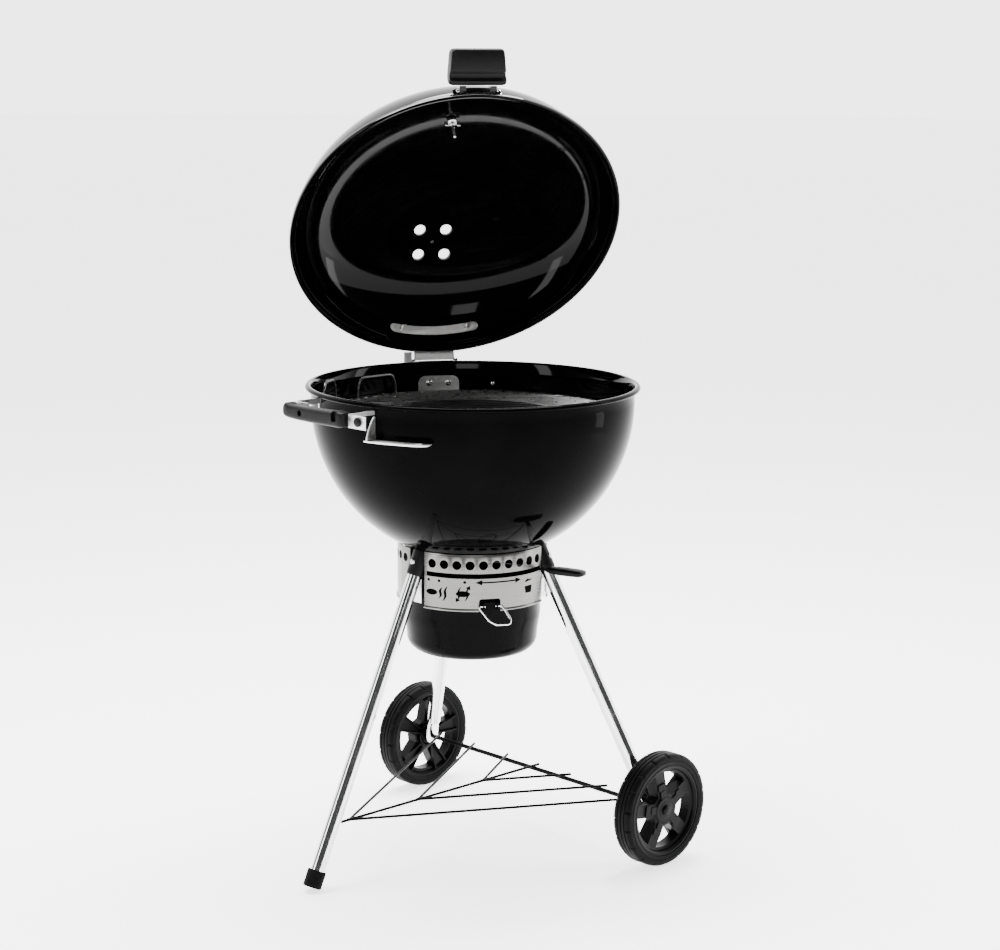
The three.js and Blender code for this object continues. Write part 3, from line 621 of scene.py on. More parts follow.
def make_foot_cap():
    bm = made(turned, [
        (0, 0), (CAP_R - 2.4, 0), (CAP_R - 0.8, 0.6), (CAP_R, 2.2), (CAP_R, 11), (CAP_R - 0.5, 11.6),
        (CAP_R - 0.5, 12.6), (CAP_R, 13.2), (CAP_R, 28.6), (CAP_R - 0.8, 30),
        (LEG_R + 0.3, 30), (LEG_R + 0.3, 6), (0, 6),
    ], 64)
    sole = leg_frame("front_left", CAP_R * math.sin(LEG_TILT))
    piece("foot_cap_rubber", bm, RUBBER, "base", ("foot_cap",), sole @ spin(180, "X"), 30)


# ------------------------------------------------------------------ wheels
def wheel_frame(side):
    """Z runs out along the axle from the middle of the wheel."""
    sign = {"right": -1, "rear": 1}[side]
    azimuth = math.radians(AXLE_AZIMUTH + 90 * sign)
    reach = WHEEL_OUTER_FACE - WHEEL_W / 2
    middle = Vector((AXLE_DISTANCE * math.cos(math.radians(AXLE_AZIMUTH)),
                     AXLE_DISTANCE * math.sin(math.radians(AXLE_AZIMUTH)), WHEEL_R))
    middle += Vector((math.cos(azimuth), math.sin(azimuth), 0)) * reach
    return Matrix.Translation(middle) @ Matrix.Rotation(azimuth, 4, "Z") @ spin(90, "Y")


def window_outline():
    """Between two parallel-sided spokes, closed by an arc at the outside."""
    points = []
    for r in (30, 44, WINDOW_R):
        points.append((r, math.radians(36) - math.asin(SPOKE_HALF / r)))
    points += [(WINDOW_R, points[-1][1] * (1 - k / 4)) for k in range(1, 8)]
    points += [(WINDOW_R, -points[2][1]), (44, -points[1][1]), (30, -points[0][1])]
    return [(r * math.cos(a), r * math.sin(a)) for r, a in points]


def make_tyre(side):
    half = WHEEL_W / 2
    tread = 82
    bm = bmesh.new()
    steps = 8
    edge = []
    for sign in (-1, 1):
        corner = [
            (tread, sign * (half - 2)), (tread + 3, sign * (half - 1.2)),
            (tread + 6, sign * (half - 0.9)),
            (tread + 6.6, sign * (half - 1.7)), (tread + 7.6, sign * (half - 1.7)),
            (tread + 8.2, sign * (half - 0.9)), (WHEEL_R - 7, sign * (half - 1.2)),
        ]
        corner += [
            (WHEEL_R - 7 + 6.6 * math.sin(a), sign * (half - 8.5 + 7.3 * math.cos(a)))
            for a in (math.radians(15 + 75 * k / steps) for k in range(steps + 1))
        ]
        edge.append(corner)
    grooves = []
    for z in (-8, 0, 8):
        grooves += [(WHEEL_R - depth, z + across) for depth, across in ((0.3, -1.6), (1.6, -1), (1.6, 1), (0.3, 1.6))]
    turned(bm, [*edge[0], *grooves, *reversed(edge[1])], TREAD_STEPS)
    # Cross grooves part the blocks of each shoulder, the two sides out of step.
    for v in bm.verts:
        r = math.hypot(v.co.x, v.co.y)
        step = round(math.degrees(math.atan2(v.co.y, v.co.x)) / 360 * TREAD_STEPS)
        offset = 0 if v.co.z > 0 else BLOCK_STEPS // 2
        if r > WHEEL_R - 6 and abs(v.co.z) > 9.2 and (step + offset) % BLOCK_STEPS == 0:
            v.co.x *= 1 - 2.2 / r
            v.co.y *= 1 - 2.2 / r
    piece(f"tyre_{side}", bm, TREAD, f"{side}_wheel", (f"wheel_tyre_{side}",), wheel_frame(side), 35)


def make_hub(side):
    half = WHEEL_W / 2
    rim = 81.6
    bm = made(turned, [
        (AXLE_R + 0.4, -half + 4), (16, -half + 4), (17, -half + 5), (19, -11), (20.5, -10),
        (rim - 9, -10), (rim - 7.5, -11), (rim - 4.5, -half + 4), (rim - 3.5, -half + 3),
        (rim, -half + 3),
        (rim, half - 3), (rim - 3, half - 2.4), (rim - 5, half - 3.6), (rim - 7.2, half - 4.6),
        (rim - 9, half - 8.6), (rim - 11.5, 11), (rim - 14, 10), (30, 12), (26.5, 12.8),
        (24, half - 6.5), (22.5, half - 5), (AXLE_R + 0.4, half - 5),
    ], 120)
    cutters = []
    for k in range(5):
        window = made(prism, window_outline(), -30, 30)
        window.transform(wheel_frame(side) @ spin(72 * k + WINDOW_TURN))
        cutters.append(window)
    mesh = carve(as_mesh(f"hub_{side}", bm, wheel_frame(side)), cutters)
    piece(f"hub_{side}", mesh, WHEEL, f"{side}_wheel", (f"wheel_hub_{side}",), sharp=28)


def make_wheel_centre(side):
    """The raised five-armed centre, the cap over the axle's end, and ribs behind the web."""
    half = WHEEL_W / 2
    frame_here = wheel_frame(side)
    body = f"{side}_wheel"
    star = made(turned, [(0, 11), (19, 11), (19, half - 6.5), (17.5, half - 5), (0, half - 4.6)], 64)
    for k in range(5):
        arm = prism(star, rounded_outline(30, 13, 2.2, (21, 0)), 10.5, half - 6)
        moved(arm, spin(72 * k + WINDOW_TURN + 36))
        pocket_rim = prism(star, rounded_outline(12, 19, 2, (42.5, 0)), 11, 13.4)
        moved(pocket_rim, spin(72 * k + WINDOW_TURN + 36))
    soften(star, 0.7)
    piece(f"hub_star_{side}", star, WHEEL, body, (), frame_here, 30)
    cap = made(turned, [
        (0, half - 4.7), (8.6, half - 4.7), (9, half - 4), (8.4, half - 2.2), (6.4, half - 1),
        (0, half - 0.6),
    ], 48)
    piece(f"hub_cap_{side}", cap, WHEEL, body, (f"axle_cap_{side}",), frame_here, 40)
    ribs = bmesh.new()
    for k in range(10):
        rib = slab(ribs, (50, 2.2, 8), (50, 0, -12.5))
        turn = WINDOW_TURN + 36 + 72 * (k // 2) + (11 if k % 2 else -11)
        moved(rib, spin(turn))
    turned(ribs, [(20, -16), (22.5, -16), (22.5, -6), (20, -6)], 64)
    piece(f"hub_ribs_{side}", ribs, WHEEL, body, (), frame_here, 30)


def make_axle():
    bm = made(turned, [(0, -AXLE_HALF), (AXLE_R - 0.6, -AXLE_HALF), (AXLE_R, -AXLE_HALF + 0.6),
                (AXLE_R, AXLE_HALF - 0.6), (AXLE_R - 0.6, AXLE_HALF), (0, AXLE_HALF)], 48)
    turn = spin(AXLE_AZIMUTH) @ shift(AXLE_DISTANCE, 0, WHEEL_R) @ spin(90, "X")
    piece("axle_rod", bm, BLACK_WIRE, "base", ("axle",), turn)


def make_rack():
    """One spine from the front leg to the axle, and three Vs hooked over the axle."""
    z = WHEEL_R + AXLE_R + WIRE_R + 0.4
    reach = AXLE_DISTANCE + 9
    leg_inside = -(LEG_GROUND_R - z * math.tan(LEG_TILT) - LEG_R / math.cos(LEG_TILT) - 1.6)
    bm = made(tube, [(leg_inside, 0, z), (reach, 0, z)], WIRE_R, 16)
    for start in (-290, -130, 28):
        spread = (reach - start) * math.tan(math.radians(30))
        level = z + (0.3 if start == -130 else 0.1)
        for sign in (-1, 1):
            side = [(start - 3, -sign * 1.2, level), (start + 2, sign * 0.6, level), (reach, sign * spread, level)]
            tube(bm, side, WIRE_R - 0.1, 16)
        weld = bmesh.ops.create_uvsphere(bm, u_segments=16, v_segments=10, radius=WIRE_R + 1)["verts"]
        moved(weld, shift(start, 0, level) @ Matrix.Diagonal((2, 1, 0.8, 1)))
    piece("rack_wires", bm, BLACK_WIRE, "base", ("wire_rack",), spin(AXLE_AZIMUTH), 60)


# ------------------------------------------------------------------ ash catcher
def panel_cutters(azimuth, is_front):
    cutters = []
    for k in range(10):
        hole = cylinder(HOLE_R, 40, 48)
        hole.transform(
            spin(azimuth - 45 + 10 * k)
            @ shift(RING_R - 10, 0, HOLE_ROW_Z)
            @ spin(90, "Y")
        )
        cutters.append(hole)
    if is_front:
        slit = made(turned, [
            (RING_R - 8, SLOT_Z - SLOT_HALF), (RING_R + 8, SLOT_Z - SLOT_HALF),
            (RING_R + 8, SLOT_Z + SLOT_HALF),
            (RING_R - 8, SLOT_Z + SLOT_HALF)], 60, azimuth - 50, azimuth + 50)
        notch = made(prism, rounded_outline(38, 44, 5, (0, RING_BOTTOM_Z)), -20, 20)
        notch.transform(
            spin(azimuth) @ shift(RING_R, 0, 0) @ spin(90, "Z")
            @ spin(90, "X")
        )
        cutters += [slit, notch]
    return cutters


def make_ring_panel(side, azimuth):
    bm = bmesh.new()
    out = RING_R + RING_T
    turned(bm, [
        (RING_R, RING_BOTTOM_Z + 0.4), (RING_R + 0.4, RING_BOTTOM_Z), (out + 1.6, RING_BOTTOM_Z),
        (out + 2, RING_BOTTOM_Z + 0.5), (out + 2, RING_BOTTOM_Z + 2.4), (out + 1.2, RING_BOTTOM_Z + 3.4),
        (out, RING_BOTTOM_Z + 4.6), (out, RING_TOP_Z + 5.6), (out - 0.4, RING_TOP_Z + 6.4),
        (out - 1.2, RING_TOP_Z + 6.6), (RING_R - 0.2, RING_TOP_Z + 6.2), (RING_R, RING_TOP_Z + 5.4),
    ], 90, azimuth - PANEL_HALF_TURN, azimuth + PANEL_HALF_TURN)
    mesh = carve(as_mesh(f"ring_{side}", bm), panel_cutters(azimuth, side == "front"))
    piece(f"ring_panel_{side}", mesh, BRUSHED, "base", (f"ash_ring_{side}",), sharp=40)
    # A strap closes each seam between two panels, behind the leg.
    strap = made(turned, [
        (RING_R - 2.4, 466), (RING_R - 0.6, 466), (RING_R - 0.6, 548), (RING_R - 2.4, 548)], 12,
        azimuth + 56, azimuth + 64)
    piece(f"ring_strap_{side}", strap, STEEL, "base")


def make_pot():
    t = 1.2
    bm = made(turned, [
        (0, POT_BOTTOM_Z), *arc_points(26, 26, POT_BOTTOM_Z + 26, -90, -8, 16, 90), (117, 402),
        (119.6, 418), (POT_R, 432), (POT_R, POT_TOP_Z - 4), (POT_R + 1, POT_TOP_Z - 2.6),
        (POT_R + 2.6, POT_TOP_Z - 2),
        (POT_R + 3, POT_TOP_Z - 1), (POT_R + 2.4, POT_TOP_Z), (POT_R - t, POT_TOP_Z), (POT_R - t, 432),
        (117 - t, 402), *arc_points(26 - t, 26 - t, POT_BOTTOM_Z + 26, -8, -90, 16, 90),
        (0, POT_BOTTOM_Z + t),
    ], 144)
    piece("ash_pot_shell", bm, POT_PAINT, "ash_pot", ("ash_pot",), sharp=40)


def make_bail():
    x = POT_R + 14
    half = [(x, 9, 0), (x, 20, 0), (x + 4, 21, -4), (x + 20, 19, -21), (x + 26, 12, -27)]
    whole = [(px, -py, drop) for px, py, drop in half] + half[::-1]
    bm = bmesh.new()
    # The loop hangs a little to one side, as it falls after it is let go.
    leaning = [(px, py - 0.6 * drop, BAIL_Z + drop) for px, py, drop in whole]
    tube(bm, rounded(leaning, 4), 2, 16)
    piece("bail_wire", bm, CHROME, "bail", ("pot_bail",), spin(-90), 60)
    # The loop's ears fold forward from a small plate spot-welded to the pot.
    bracket = made(slab, (9.6, 30, 13.6), (POT_R + 5.6, 0, BAIL_Z - 1))
    for sign in (-1, 1):
        slab(bracket, (10, 2.6, 12), (POT_R + 13, sign * 12, BAIL_Z))
    soften(bracket, 1.1)
    piece("bail_plate", bracket, POT_PAINT, "ash_pot", ("pot_bail_bracket",), spin(-90))


# ------------------------------------------------------------------ lever pictograms on the front panel
def on_ring(azimuth, z, points, lift=0.3, thick=0.5):
    """Wraps an outline of (along, up) millimetres onto the front panel as a thin raised print."""
    bm = made(prism, points, 0, thick)
    bmesh.ops.triangulate(bm, faces=bm.faces)
    long_edges = [e for e in bm.edges if e.calc_length() > 3]
    bmesh.ops.subdivide_edges(bm, edges=long_edges, cuts=5, use_grid_fill=True)
    bmesh.ops.triangulate(bm, faces=bm.faces)
    for vert in bm.verts:
        radius = RING_R + RING_T + lift - thick + vert.co.z
        turn = math.radians(azimuth) + vert.co.x / (RING_R + RING_T)
        vert.co = (radius * math.cos(turn), radius * math.sin(turn), z + vert.co.y)
    return bm


def mark(name, azimuth, z, points):
    piece(f"mark_{name}", on_ring(azimuth, z, points), INK_AND_SHADE, "base", (), sharp=30)


def blob(width, height, steps=24):
    return [
        (width / 2 * math.cos(2 * math.pi * k / steps), height / 2 * math.sin(2 * math.pi * k / steps))
        for k in range(steps)
    ]


def flame_stroke(width, height, steps=14):
    """A wavy stroke that leans to the right, thick in the middle."""
    left, right = [], []
    for k in range(steps + 1):
        t = k / steps
        sway = 1.9 * math.sin(2 * math.pi * t) + 0.3 * height * (t - 0.5)
        half = width / 2 * (0.4 + 0.6 * math.sin(math.pi * t))
        left.append((sway - half, height * (t - 0.5)))
        right.append((sway + half, height * (t - 0.5)))
    return left + right[::-1]


def bar_outline(length, thick, steps=20):
    lower = [(length * (k / steps - 0.5), -thick / 2) for k in range(steps + 1)]
    return lower + [(x, thick / 2) for x, _ in reversed(lower)]


def make_marks():
    for name, azimuth in (("dot_1", -138), ("dot_2", -129), ("dot_3", -109)):
        mark(name, azimuth, 511.8, blob(5.6, 5.2))
    mark("travel_bar", -82.5, TRAVEL_Z, bar_outline(64, 2.6))
    for name, azimuth, sign in (("travel_left", -98.5, -1), ("travel_right", -66.5, 1)):
        mark(name, azimuth, TRAVEL_Z, [(-6 * sign, -4.8), (6 * sign, 0), (-6 * sign, 4.8)])
    mark("closed_vent", -135.3, 490.8, blob(22.5, 10.5))
    for name, azimuth, z, height in (("smoke_1", -127.8, 490.6, 19), ("smoke_2", -124, 489.8, 25)):
        mark(name, azimuth, z, flame_stroke(4.8, height))
    mark("open_vent", -110.3, SYMBOL_Z, blob(25, 10.5))
    for name, azimuth, end in (("draught_down", -113.4, -1), ("draught_up", -107.2, 1)):
        mark(name, azimuth, SYMBOL_Z, flame_stroke(3.8, 24))
        tip = [(5.6 * end, 15 * end), (-2.6 * end, 11 * end), (5.4 * end, 6.6 * end)]
        mark(f"{name}_tip", azimuth, SYMBOL_Z, tip)
    mark("bin_body", -56, SYMBOL_Z, [(-7, -6.4), (7, -6.4), (9, 6.2), (-9, 6.2)])
    mark("bin_lid", -56, 505.6, [(-8, -1.6), (8, 0.4), (8, 2.8), (1, 2), (-1, 5), (-3, 1.4), (-8, 0.8)])


# ------------------------------------------------------------------ sweeper lever
def make_lever():
    arm = made(slab, (139, 8, 3), (13.3 + 69.5, 0, SLOT_Z))
    soften(arm, 0.5)
    piece("lever_bar", arm, BLACK_WIRE, "sweeper", ("lever_arm",), spin(LEVER_AZIMUTH))
    paddle = bmesh.new()
    spine = (
        (148, 4.6, 2.8), (152, 8, 4.4), (158, 11, 5.6), (168, 13, 6.1), (182, 14.6, 6.3),
        (202, 14.8, 6.1), (214, 14, 5.7), (220, 11.6, 4.6), (222.5, 8, 3),
    )
    rings = []
    for x, half_width, half_height in spine:
        rings.append([
            (x, half_width * math.copysign(abs(math.cos(a)) ** 0.55, math.cos(a)),
             SLOT_Z + half_height * math.copysign(abs(math.sin(a)) ** 0.7, math.sin(a)))
            for a in (2 * math.pi * (k + 0.5) / 40 for k in range(40))
        ])
    loft(paddle, rings)
    piece("lever_grip", paddle, NYLON, "sweeper", ("lever_paddle",), spin(LEVER_AZIMUTH), 50)


# ------------------------------------------------------------------ grates
def chord(radius, y):
    return math.sqrt(max(radius * radius - y * y, 0))


def ring_wire(bm, radius, wire, start=0, end=360, steps=120):
    whole = end - start == 360
    count = steps if whole else steps + 1
    path = []
    for k in range(count):
        a = math.radians(start + (end - start) * k / steps)
        path.append((radius * math.cos(a), radius * math.sin(a), GRATE_Z))
    tube(bm, path, wire, 12, closed=whole)


def across(radius, y):
    return [(-chord(radius, y), chord(radius, y))]


def wires(bm, pitch, y_from, y_to, radius, spans):
    """Evenly spaced wires along X; spans(y) gives the stretches of each."""
    count = int((y_to - y_from) / pitch)
    first = (y_from + y_to - count * pitch) / 2
    for k in range(count + 1):
        y = first + k * pitch
        for x0, x1 in spans(y):
            if x1 - x0 > 6:
                tube(bm, [(x0, y, GRATE_Z), (x1, y, GRATE_Z)], radius, 8)


def grip_loop(name, body, node, azimuth, width, height, radius, top_share, place=Matrix()):
    w = width / 2
    t = w * top_share
    z = GRATE_Z + 3.4
    shoulder = z + height * 0.55
    path = rounded([(radius, along, up) for along, up in (
        (-w, z), (-w * 0.95, shoulder), (-t, z + height), (t, z + height), (w * 0.95, shoulder), (w, z),
    )], 12)
    bm = made(tube, path, 2.3, 14)
    piece(name, bm, GRATE_WIRE, body, (node,), place @ spin(azimuth), 60)


def make_cooking_grate():
    bm = made(ring_wire, GRATE_R, 3)
    ring_wire(bm, INSERT_R + 6, 2.8)
    for sign in (-1, 1):
        y = sign * (FLAP_Y - 8)
        tube(bm, [(-chord(GRATE_R, y), y, GRATE_Z), (chord(GRATE_R, y), y, GRATE_Z)], 2.8, 12)

    def spans(y):
        edge, inner = chord(GRATE_R, y), chord(INSERT_R + 6, y)
        return [(-edge, -inner), (inner, edge)] if inner > 0 else across(GRATE_R, y)

    wires(bm, GRATE_PITCH, -150, 150, 2.1, spans)
    for x in (-205, 205):
        tube(bm, [(x, -chord(GRATE_R, x), GRATE_Z - 4.4), (x, chord(GRATE_R, x), GRATE_Z - 4.4)], 2.4, 10)
    piece("grate_wires", bm, GRATE_WIRE, "cooking_grate", ("cooking_grate",), sharp=60)
    for side, azimuth in (("left", 148), ("right", 328)):
        grip_loop(f"loop_{side}", "cooking_grate", f"grate_loop_{side}", azimuth, 60, 40, GRATE_R, 0.7)


def make_flap(side, azimuth):
    edge_r = GRATE_R - 7
    body = f"{side}_flap"
    bm = bmesh.new()
    x = chord(edge_r, FLAP_Y)
    tube(bm, [(-x, FLAP_Y, GRATE_Z), (x, FLAP_Y, GRATE_Z)], 2.8, 12)
    lean = math.degrees(math.asin(FLAP_Y / edge_r))
    ring_wire(bm, edge_r, 2.8, lean, 180 - lean, 40)
    wires(bm, GRATE_PITCH, FLAP_Y + 10, edge_r - 5, 2.1, lambda y: across(edge_r, y))
    for tie in (-70, 70):
        tube(bm, [(tie, FLAP_Y, GRATE_Z - 3.6), (tie, chord(edge_r, tie), GRATE_Z - 3.6)], 2.2, 10)
    piece(f"flap_wires_{side}", bm, GRATE_WIRE, body, (f"grate_flap_{side}",), spin(azimuth), 60)
    grip_loop(f"flap_grip_{side}", body, f"flap_loop_{side}", 119, 92, 35, edge_r - 2, 0.8, spin(azimuth))


def make_insert():
    bars = made(ring_wire, INSERT_R, 3, steps=100)
    wires(bars, INSERT_PITCH, -INSERT_R + 8, INSERT_R - 8, 3, lambda y: across(INSERT_R, y))
    piece("insert_bars", bars, CAST, "insert", ("grate_insert",), sharp=60)
    ties = bmesh.new()
    for x in range(-120, 121, 24):
        y = chord(INSERT_R - 2, x)
        tube(ties, [(x, -y, GRATE_Z - 4.4), (x, y, GRATE_Z - 4.4)], 2.2, 10)
    piece("insert_ties", ties, GRATE_WIRE, "insert", (), sharp=60)


# ------------------------------------------------------------------ side handle and bracket
def make_side_handle():
    bm = bmesh.new()
    rings = []
    for y, x0, x1, z0, z1 in GRIP_SECTIONS:
        corner = min(6.5, (z1 - z0) / 2 - 1)
        outline = rounded_outline(x1 - x0, z1 - z0, corner, ((x0 + x1) / 2, (z0 + z1) / 2), 5)
        rings.append([(x, y, z) for x, z in outline])
    loft(bm, rings)
    bolt_hole = cylinder(5.2, 60)
    bolt_hole.transform(shift(300, -52, HANDLE_Z) @ spin(90, "Y"))
    notch = made(prism, rounded_outline(13, 40, 4, (0, 0)), -20, 20)
    notch.transform(
        shift(363, 36, 832) @ spin(90, "Z") @ spin(90, "X")
    )
    for cutter in (bolt_hole, notch):
        cutter.transform(spin(HANDLE_AZIMUTH))
    mesh = carve(as_mesh("side_grip", bm, spin(HANDLE_AZIMUTH)), [bolt_hole, notch])
    piece("side_grip", mesh, NYLON, "base", ("bowl_handle_grip",), sharp=42)

    wall_x = math.sqrt(BOWL_R ** 2 - 96 ** 2) + 1
    # The left strap's web is at its outer end, the right one's behind the grip.
    for side, plate_x, inner, low, high, place_y in (
        ("left", 320, 60, 801, 829, lambda y: -y), ("right", 333, 55, 804, 826, lambda y: 154 - y),
    ):
        strap = made(prism, [
            (x, place_y(y)) for x, y in (
                (wall_x, 96.5), (plate_x - 4, 96.5), (plate_x - 1.2, 95.3), (plate_x, 92.5),
                (plate_x, inner), (plate_x + 2.4, inner), (plate_x + 2.4, 94), (plate_x + 1.2, 97.8),
                (plate_x - 2.4, 99), (wall_x, 99),
            )
        ], low, high)
        soften(strap, 0.5, 2, 50)
        relief = made(
            slab, (plate_x - wall_x - 6, 30, 40), ((plate_x + wall_x - 4) / 2, place_y(98), 799)
        )
        relief.transform(spin(HANDLE_AZIMUTH))
        strap = carve(as_mesh(f"handle_strap_{side}", strap, spin(HANDLE_AZIMUTH)), [relief])
        piece(f"handle_strap_{side}", strap, ZINC, "base", (f"bowl_handle_bracket_{side}",), sharp=30)
    knob = made(turned, [
        (0, 0), (7.2, 0), (8, 0.8), (8, 2.6), (7.2, 3.6), (5.6, 4.4), (3, 5), (0, 5.1)], 48)
    place = spin(HANDLE_AZIMUTH) @ shift(335.8, 83, HANDLE_Z) @ spin(90, "Y")
    piece("side_knob", knob, NYLON, "base", ("handle_knob",), place, 60)


def curved_plate(bm, radius, thick, azimuth, half_width, edges, steps=48):
    """A plate wrapped on a cylinder; edges(along) gives its bottom and top at each place."""
    rings = []
    for k in range(steps + 1):
        along = half_width * math.sin(math.pi * (k / steps - 0.5))
        a = math.radians(azimuth) + along / radius
        low, high = edges(along)
        rings.append([
            (r * math.cos(a), r * math.sin(a), z)
            for r, z in ((radius, low), (radius + thick, low), (radius + thick, high), (radius, high))
        ])
    return loft(bm, rings)


def make_accessory_bracket():
    z = BRACKET_Z
    r = BOWL_R + 1.5
    bm = bmesh.new()
    rings = []
    for k in range(41):
        azimuth = 221 + 22 * k / 40
        a = math.radians(azimuth)
        nose = math.sqrt(max(1 - max((azimuth - 239.5) / 3.6, 0) ** 2, 0.02))
        out = r + 3 + 21 * nose
        section = ((r, 0), (out - 0.6, 0), (out, 0.6), (out, 1.8), (out - 0.6, 2.2), (r, 2.2))
        rings.append([(q * math.cos(a), q * math.sin(a), z + up) for q, up in section])
    loft(bm, rings)
    curved_plate(bm, r, 2, 227, 28.5, lambda along: (z + 1, z + 20 - 0.18 * max(along + 20, 0)))
    gusset = bmesh.new()
    curve = [(r + 24 - 20 * (k / 12) ** 1.6, z + 40 * (k / 12) ** 0.9) for k in range(13)]
    outline = [(r, z), *curve, (r, z + 40)]
    prism(gusset, outline, -1.1, 1.1)
    soften(gusset, 0.5, 2, 50)
    gusset.transform(spin(222) @ spin(90, "X"))
    curved_plate(bm, r + 20, 1.9, 230.5, 12.6, lambda along: (z + 1, z + 13))
    slot = made(prism, rounded_outline(6, 12, 2.6), -10, 10)
    slot.transform(spin(239) @ shift(r + 11, 0, z))
    tray = carve(as_mesh("tool_bracket", bm), [slot])
    piece("tool_bracket", tray, ZINC, "base", ("accessory_bracket",), sharp=35)
    piece("tool_bracket_gusset", gusset, ZINC, "base", (), sharp=35)


# ------------------------------------------------------------------ hinge plates, screws and lid fittings
def screw_head(name, body, place, radius=5, finish=None):
    bm = made(turned, [(0, 0), (radius, 0), (radius, 0.5), (radius * 0.94, 1.3), (radius * 0.7, 2.2),
                (radius * 0.36, 2.7), (radius * 0.34, 1.4), (0, 1.4)], 40)
    piece(name, bm, finish or STEEL, body, (), place, 35)


def make_hinge_plates():
    radius = BOWL_R - SHEET - 6
    half = 38.7

    def arched(along):
        inset = max(abs(along) - (half - 13), 0) / 13
        return 783, 813 - 13 * (1 - math.sqrt(max(1 - inset ** 2, 0.001)))

    plate = made(curved_plate, radius, 1.8, 90, half, arched)
    piece("bowl_plate", plate, ZINC, "base", ("bowl_hinge_plate",), sharp=35)
    for side, azimuth in (("left", 93.75), ("right", 86.25)):
        place = spin(azimuth) @ shift(radius - 0.3, 0, 800) @ spin(-90, "Y")
        screw_head(f"bowl_plate_screw_{side}", "base", place, 6)
    wall_bolt = spin(69) @ shift(BOWL_R - SHEET - 0.6, 0, 797) @ spin(-90, "Y")
    screw_head("wall_bolt", "base", wall_bolt, 5)

    long_half = 84.6

    def stadium(along):
        inset = max(abs(along) - (long_half - 11), 0) / 11
        reach = 11 * math.sqrt(max(1 - inset ** 2, 0.001))
        return 869 - reach, 869 + reach

    strip = made(curved_plate, LID_PLATE_R - 1.8, 1.8, 90, long_half, stadium)
    piece("lid_plate", strip, ZINC, "lid", ("lid_hinge_plate",), LID_SWING, 35)
    for side, azimuth in (("left", 103), ("right", 77)):
        place = (
            LID_SWING @ spin(azimuth) @ shift(LID_PLATE_R - 2, 0, 867)
            @ spin(-90, "Y")
        )
        screw_head(f"lid_plate_nut_{side}", "lid", place, 4.4)
        stub = made(turned, [(0, 0), (2.2, 0), (2.2, 11), (1.6, 12), (0, 12)], 24)
        piece(f"lid_plate_stub_{side}", stub, CHROME, "lid", (), place, 40)


def make_hinge_leaves():
    """The plate between the lid hinge's cheeks, and the base's turned-out flange."""
    leaf = bmesh.new()
    outline = (
        (291, 852), (294, 852.5), (303, 848), (313, 836), (315.5, 829.6), (313.8, 829), (310, 835),
        (301, 845.6),
    )
    loft(leaf, [[(x, y, z) for y, z in outline] for x in (-35.6, 35.6)])
    soften(leaf, 0.5, 2, 50)
    piece("lid_hinge_leaf", leaf, ZINC, "lid", (), LID_SWING, 35)
    flange = made(slab, (15, 2.2, 32), (-49.6, 318, 837))
    soften(flange, 0.6)
    piece("hinge_base_flange", flange, ZINC, "base", (), sharp=35)


def make_lid_handle():
    lean = math.radians(143)
    section = [
        (31, -9), (30.2, -12.6), (28, -15.2), (25, -16), (-5, -16), (-8.4, -14.6), (-11.4, -10.4),
        (-15, -8.8), (-19, -9), (-21.6, -11.4), (-24.4, -13), (-28, -12.4), (-30.6, -9.6), (-31, -5),
        (-30, 2), (-26, 8.4), (-19.5, 12.4), (-12, 14), (25, 14), (28.6, 12.6), (30.6, 9.6), (31, 5),
    ]
    half = LID_GRIP_W / 2
    rings = []
    ends = ((half, 0.84), (half - 0.8, 0.91), (half - 2.4, 0.96), (half - 5, 0.99), (half - 8, 1))
    for x, share in [(-x, share) for x, share in ends] + list(reversed(ends)):
        ring = []
        for u, w in section:
            u2, w2 = u * share, (w + 1) * share - 1
            flare = -math.copysign(2.2, x) * u / 31
            ring.append((
                x + flare,
                LID_GRIP_Y + u2 * math.cos(lean) + w2 * math.sin(lean),
                LID_GRIP_Z + u2 * math.sin(lean) - w2 * math.cos(lean),
            ))
        rings.append(ring)
    bm = made(loft, rings)
    piece("lid_grip", bm, NYLON, "lid", ("lid_handle_grip",), LID_SWING, 38)

    strap = bmesh.new()
    low = LID_STRAP_Z
    curved_plate(strap, 290.4, 1.9, 270, 42, lambda along: (low, low + 18 - 3 * (abs(along) / 42) ** 8))
    for sign in (-1, 1):
        arm = [(-290.5, low + 1), (-291, low + 17.5), (-294, low + 20), (-303, low + 8.3), (-297, low + 2)]
        loft(strap, [[(sign * 27 + dx, y, z) for y, z in arm] for dx in (-6, 6)])
    soften(strap, 0.4, 2, 50)
    piece("lid_grip_strap", strap, CHROME, "lid", ("lid_handle_bracket",), LID_SWING, 35)
    for side, sign in (("left", -1), ("right", 1)):
        place = (
            LID_SWING @ shift(sign * 33, -288.6, low + 9) @ spin(-90 + sign * 6.5)
            @ spin(90, "Y")
        )
        # A flat black disc under each screw is painted shade, standing in for the dark recess round the screw.
        painted_recess_shade = made(turned, [(0, 0), (6.2, 0), (6.2, 2.4), (5.6, 2.8), (0, 2.8)], 32)
        moved(painted_recess_shade.verts, Matrix.Diagonal((1, 1.5, 1, 1)))
        piece(f"lid_strap_well_{side}", painted_recess_shade, INK_AND_SHADE, "lid", (), place, 35)
        screw_head(f"lid_strap_screw_{side}", "lid", place @ shift(0, 0, 2.8), 3.6, CHROME)


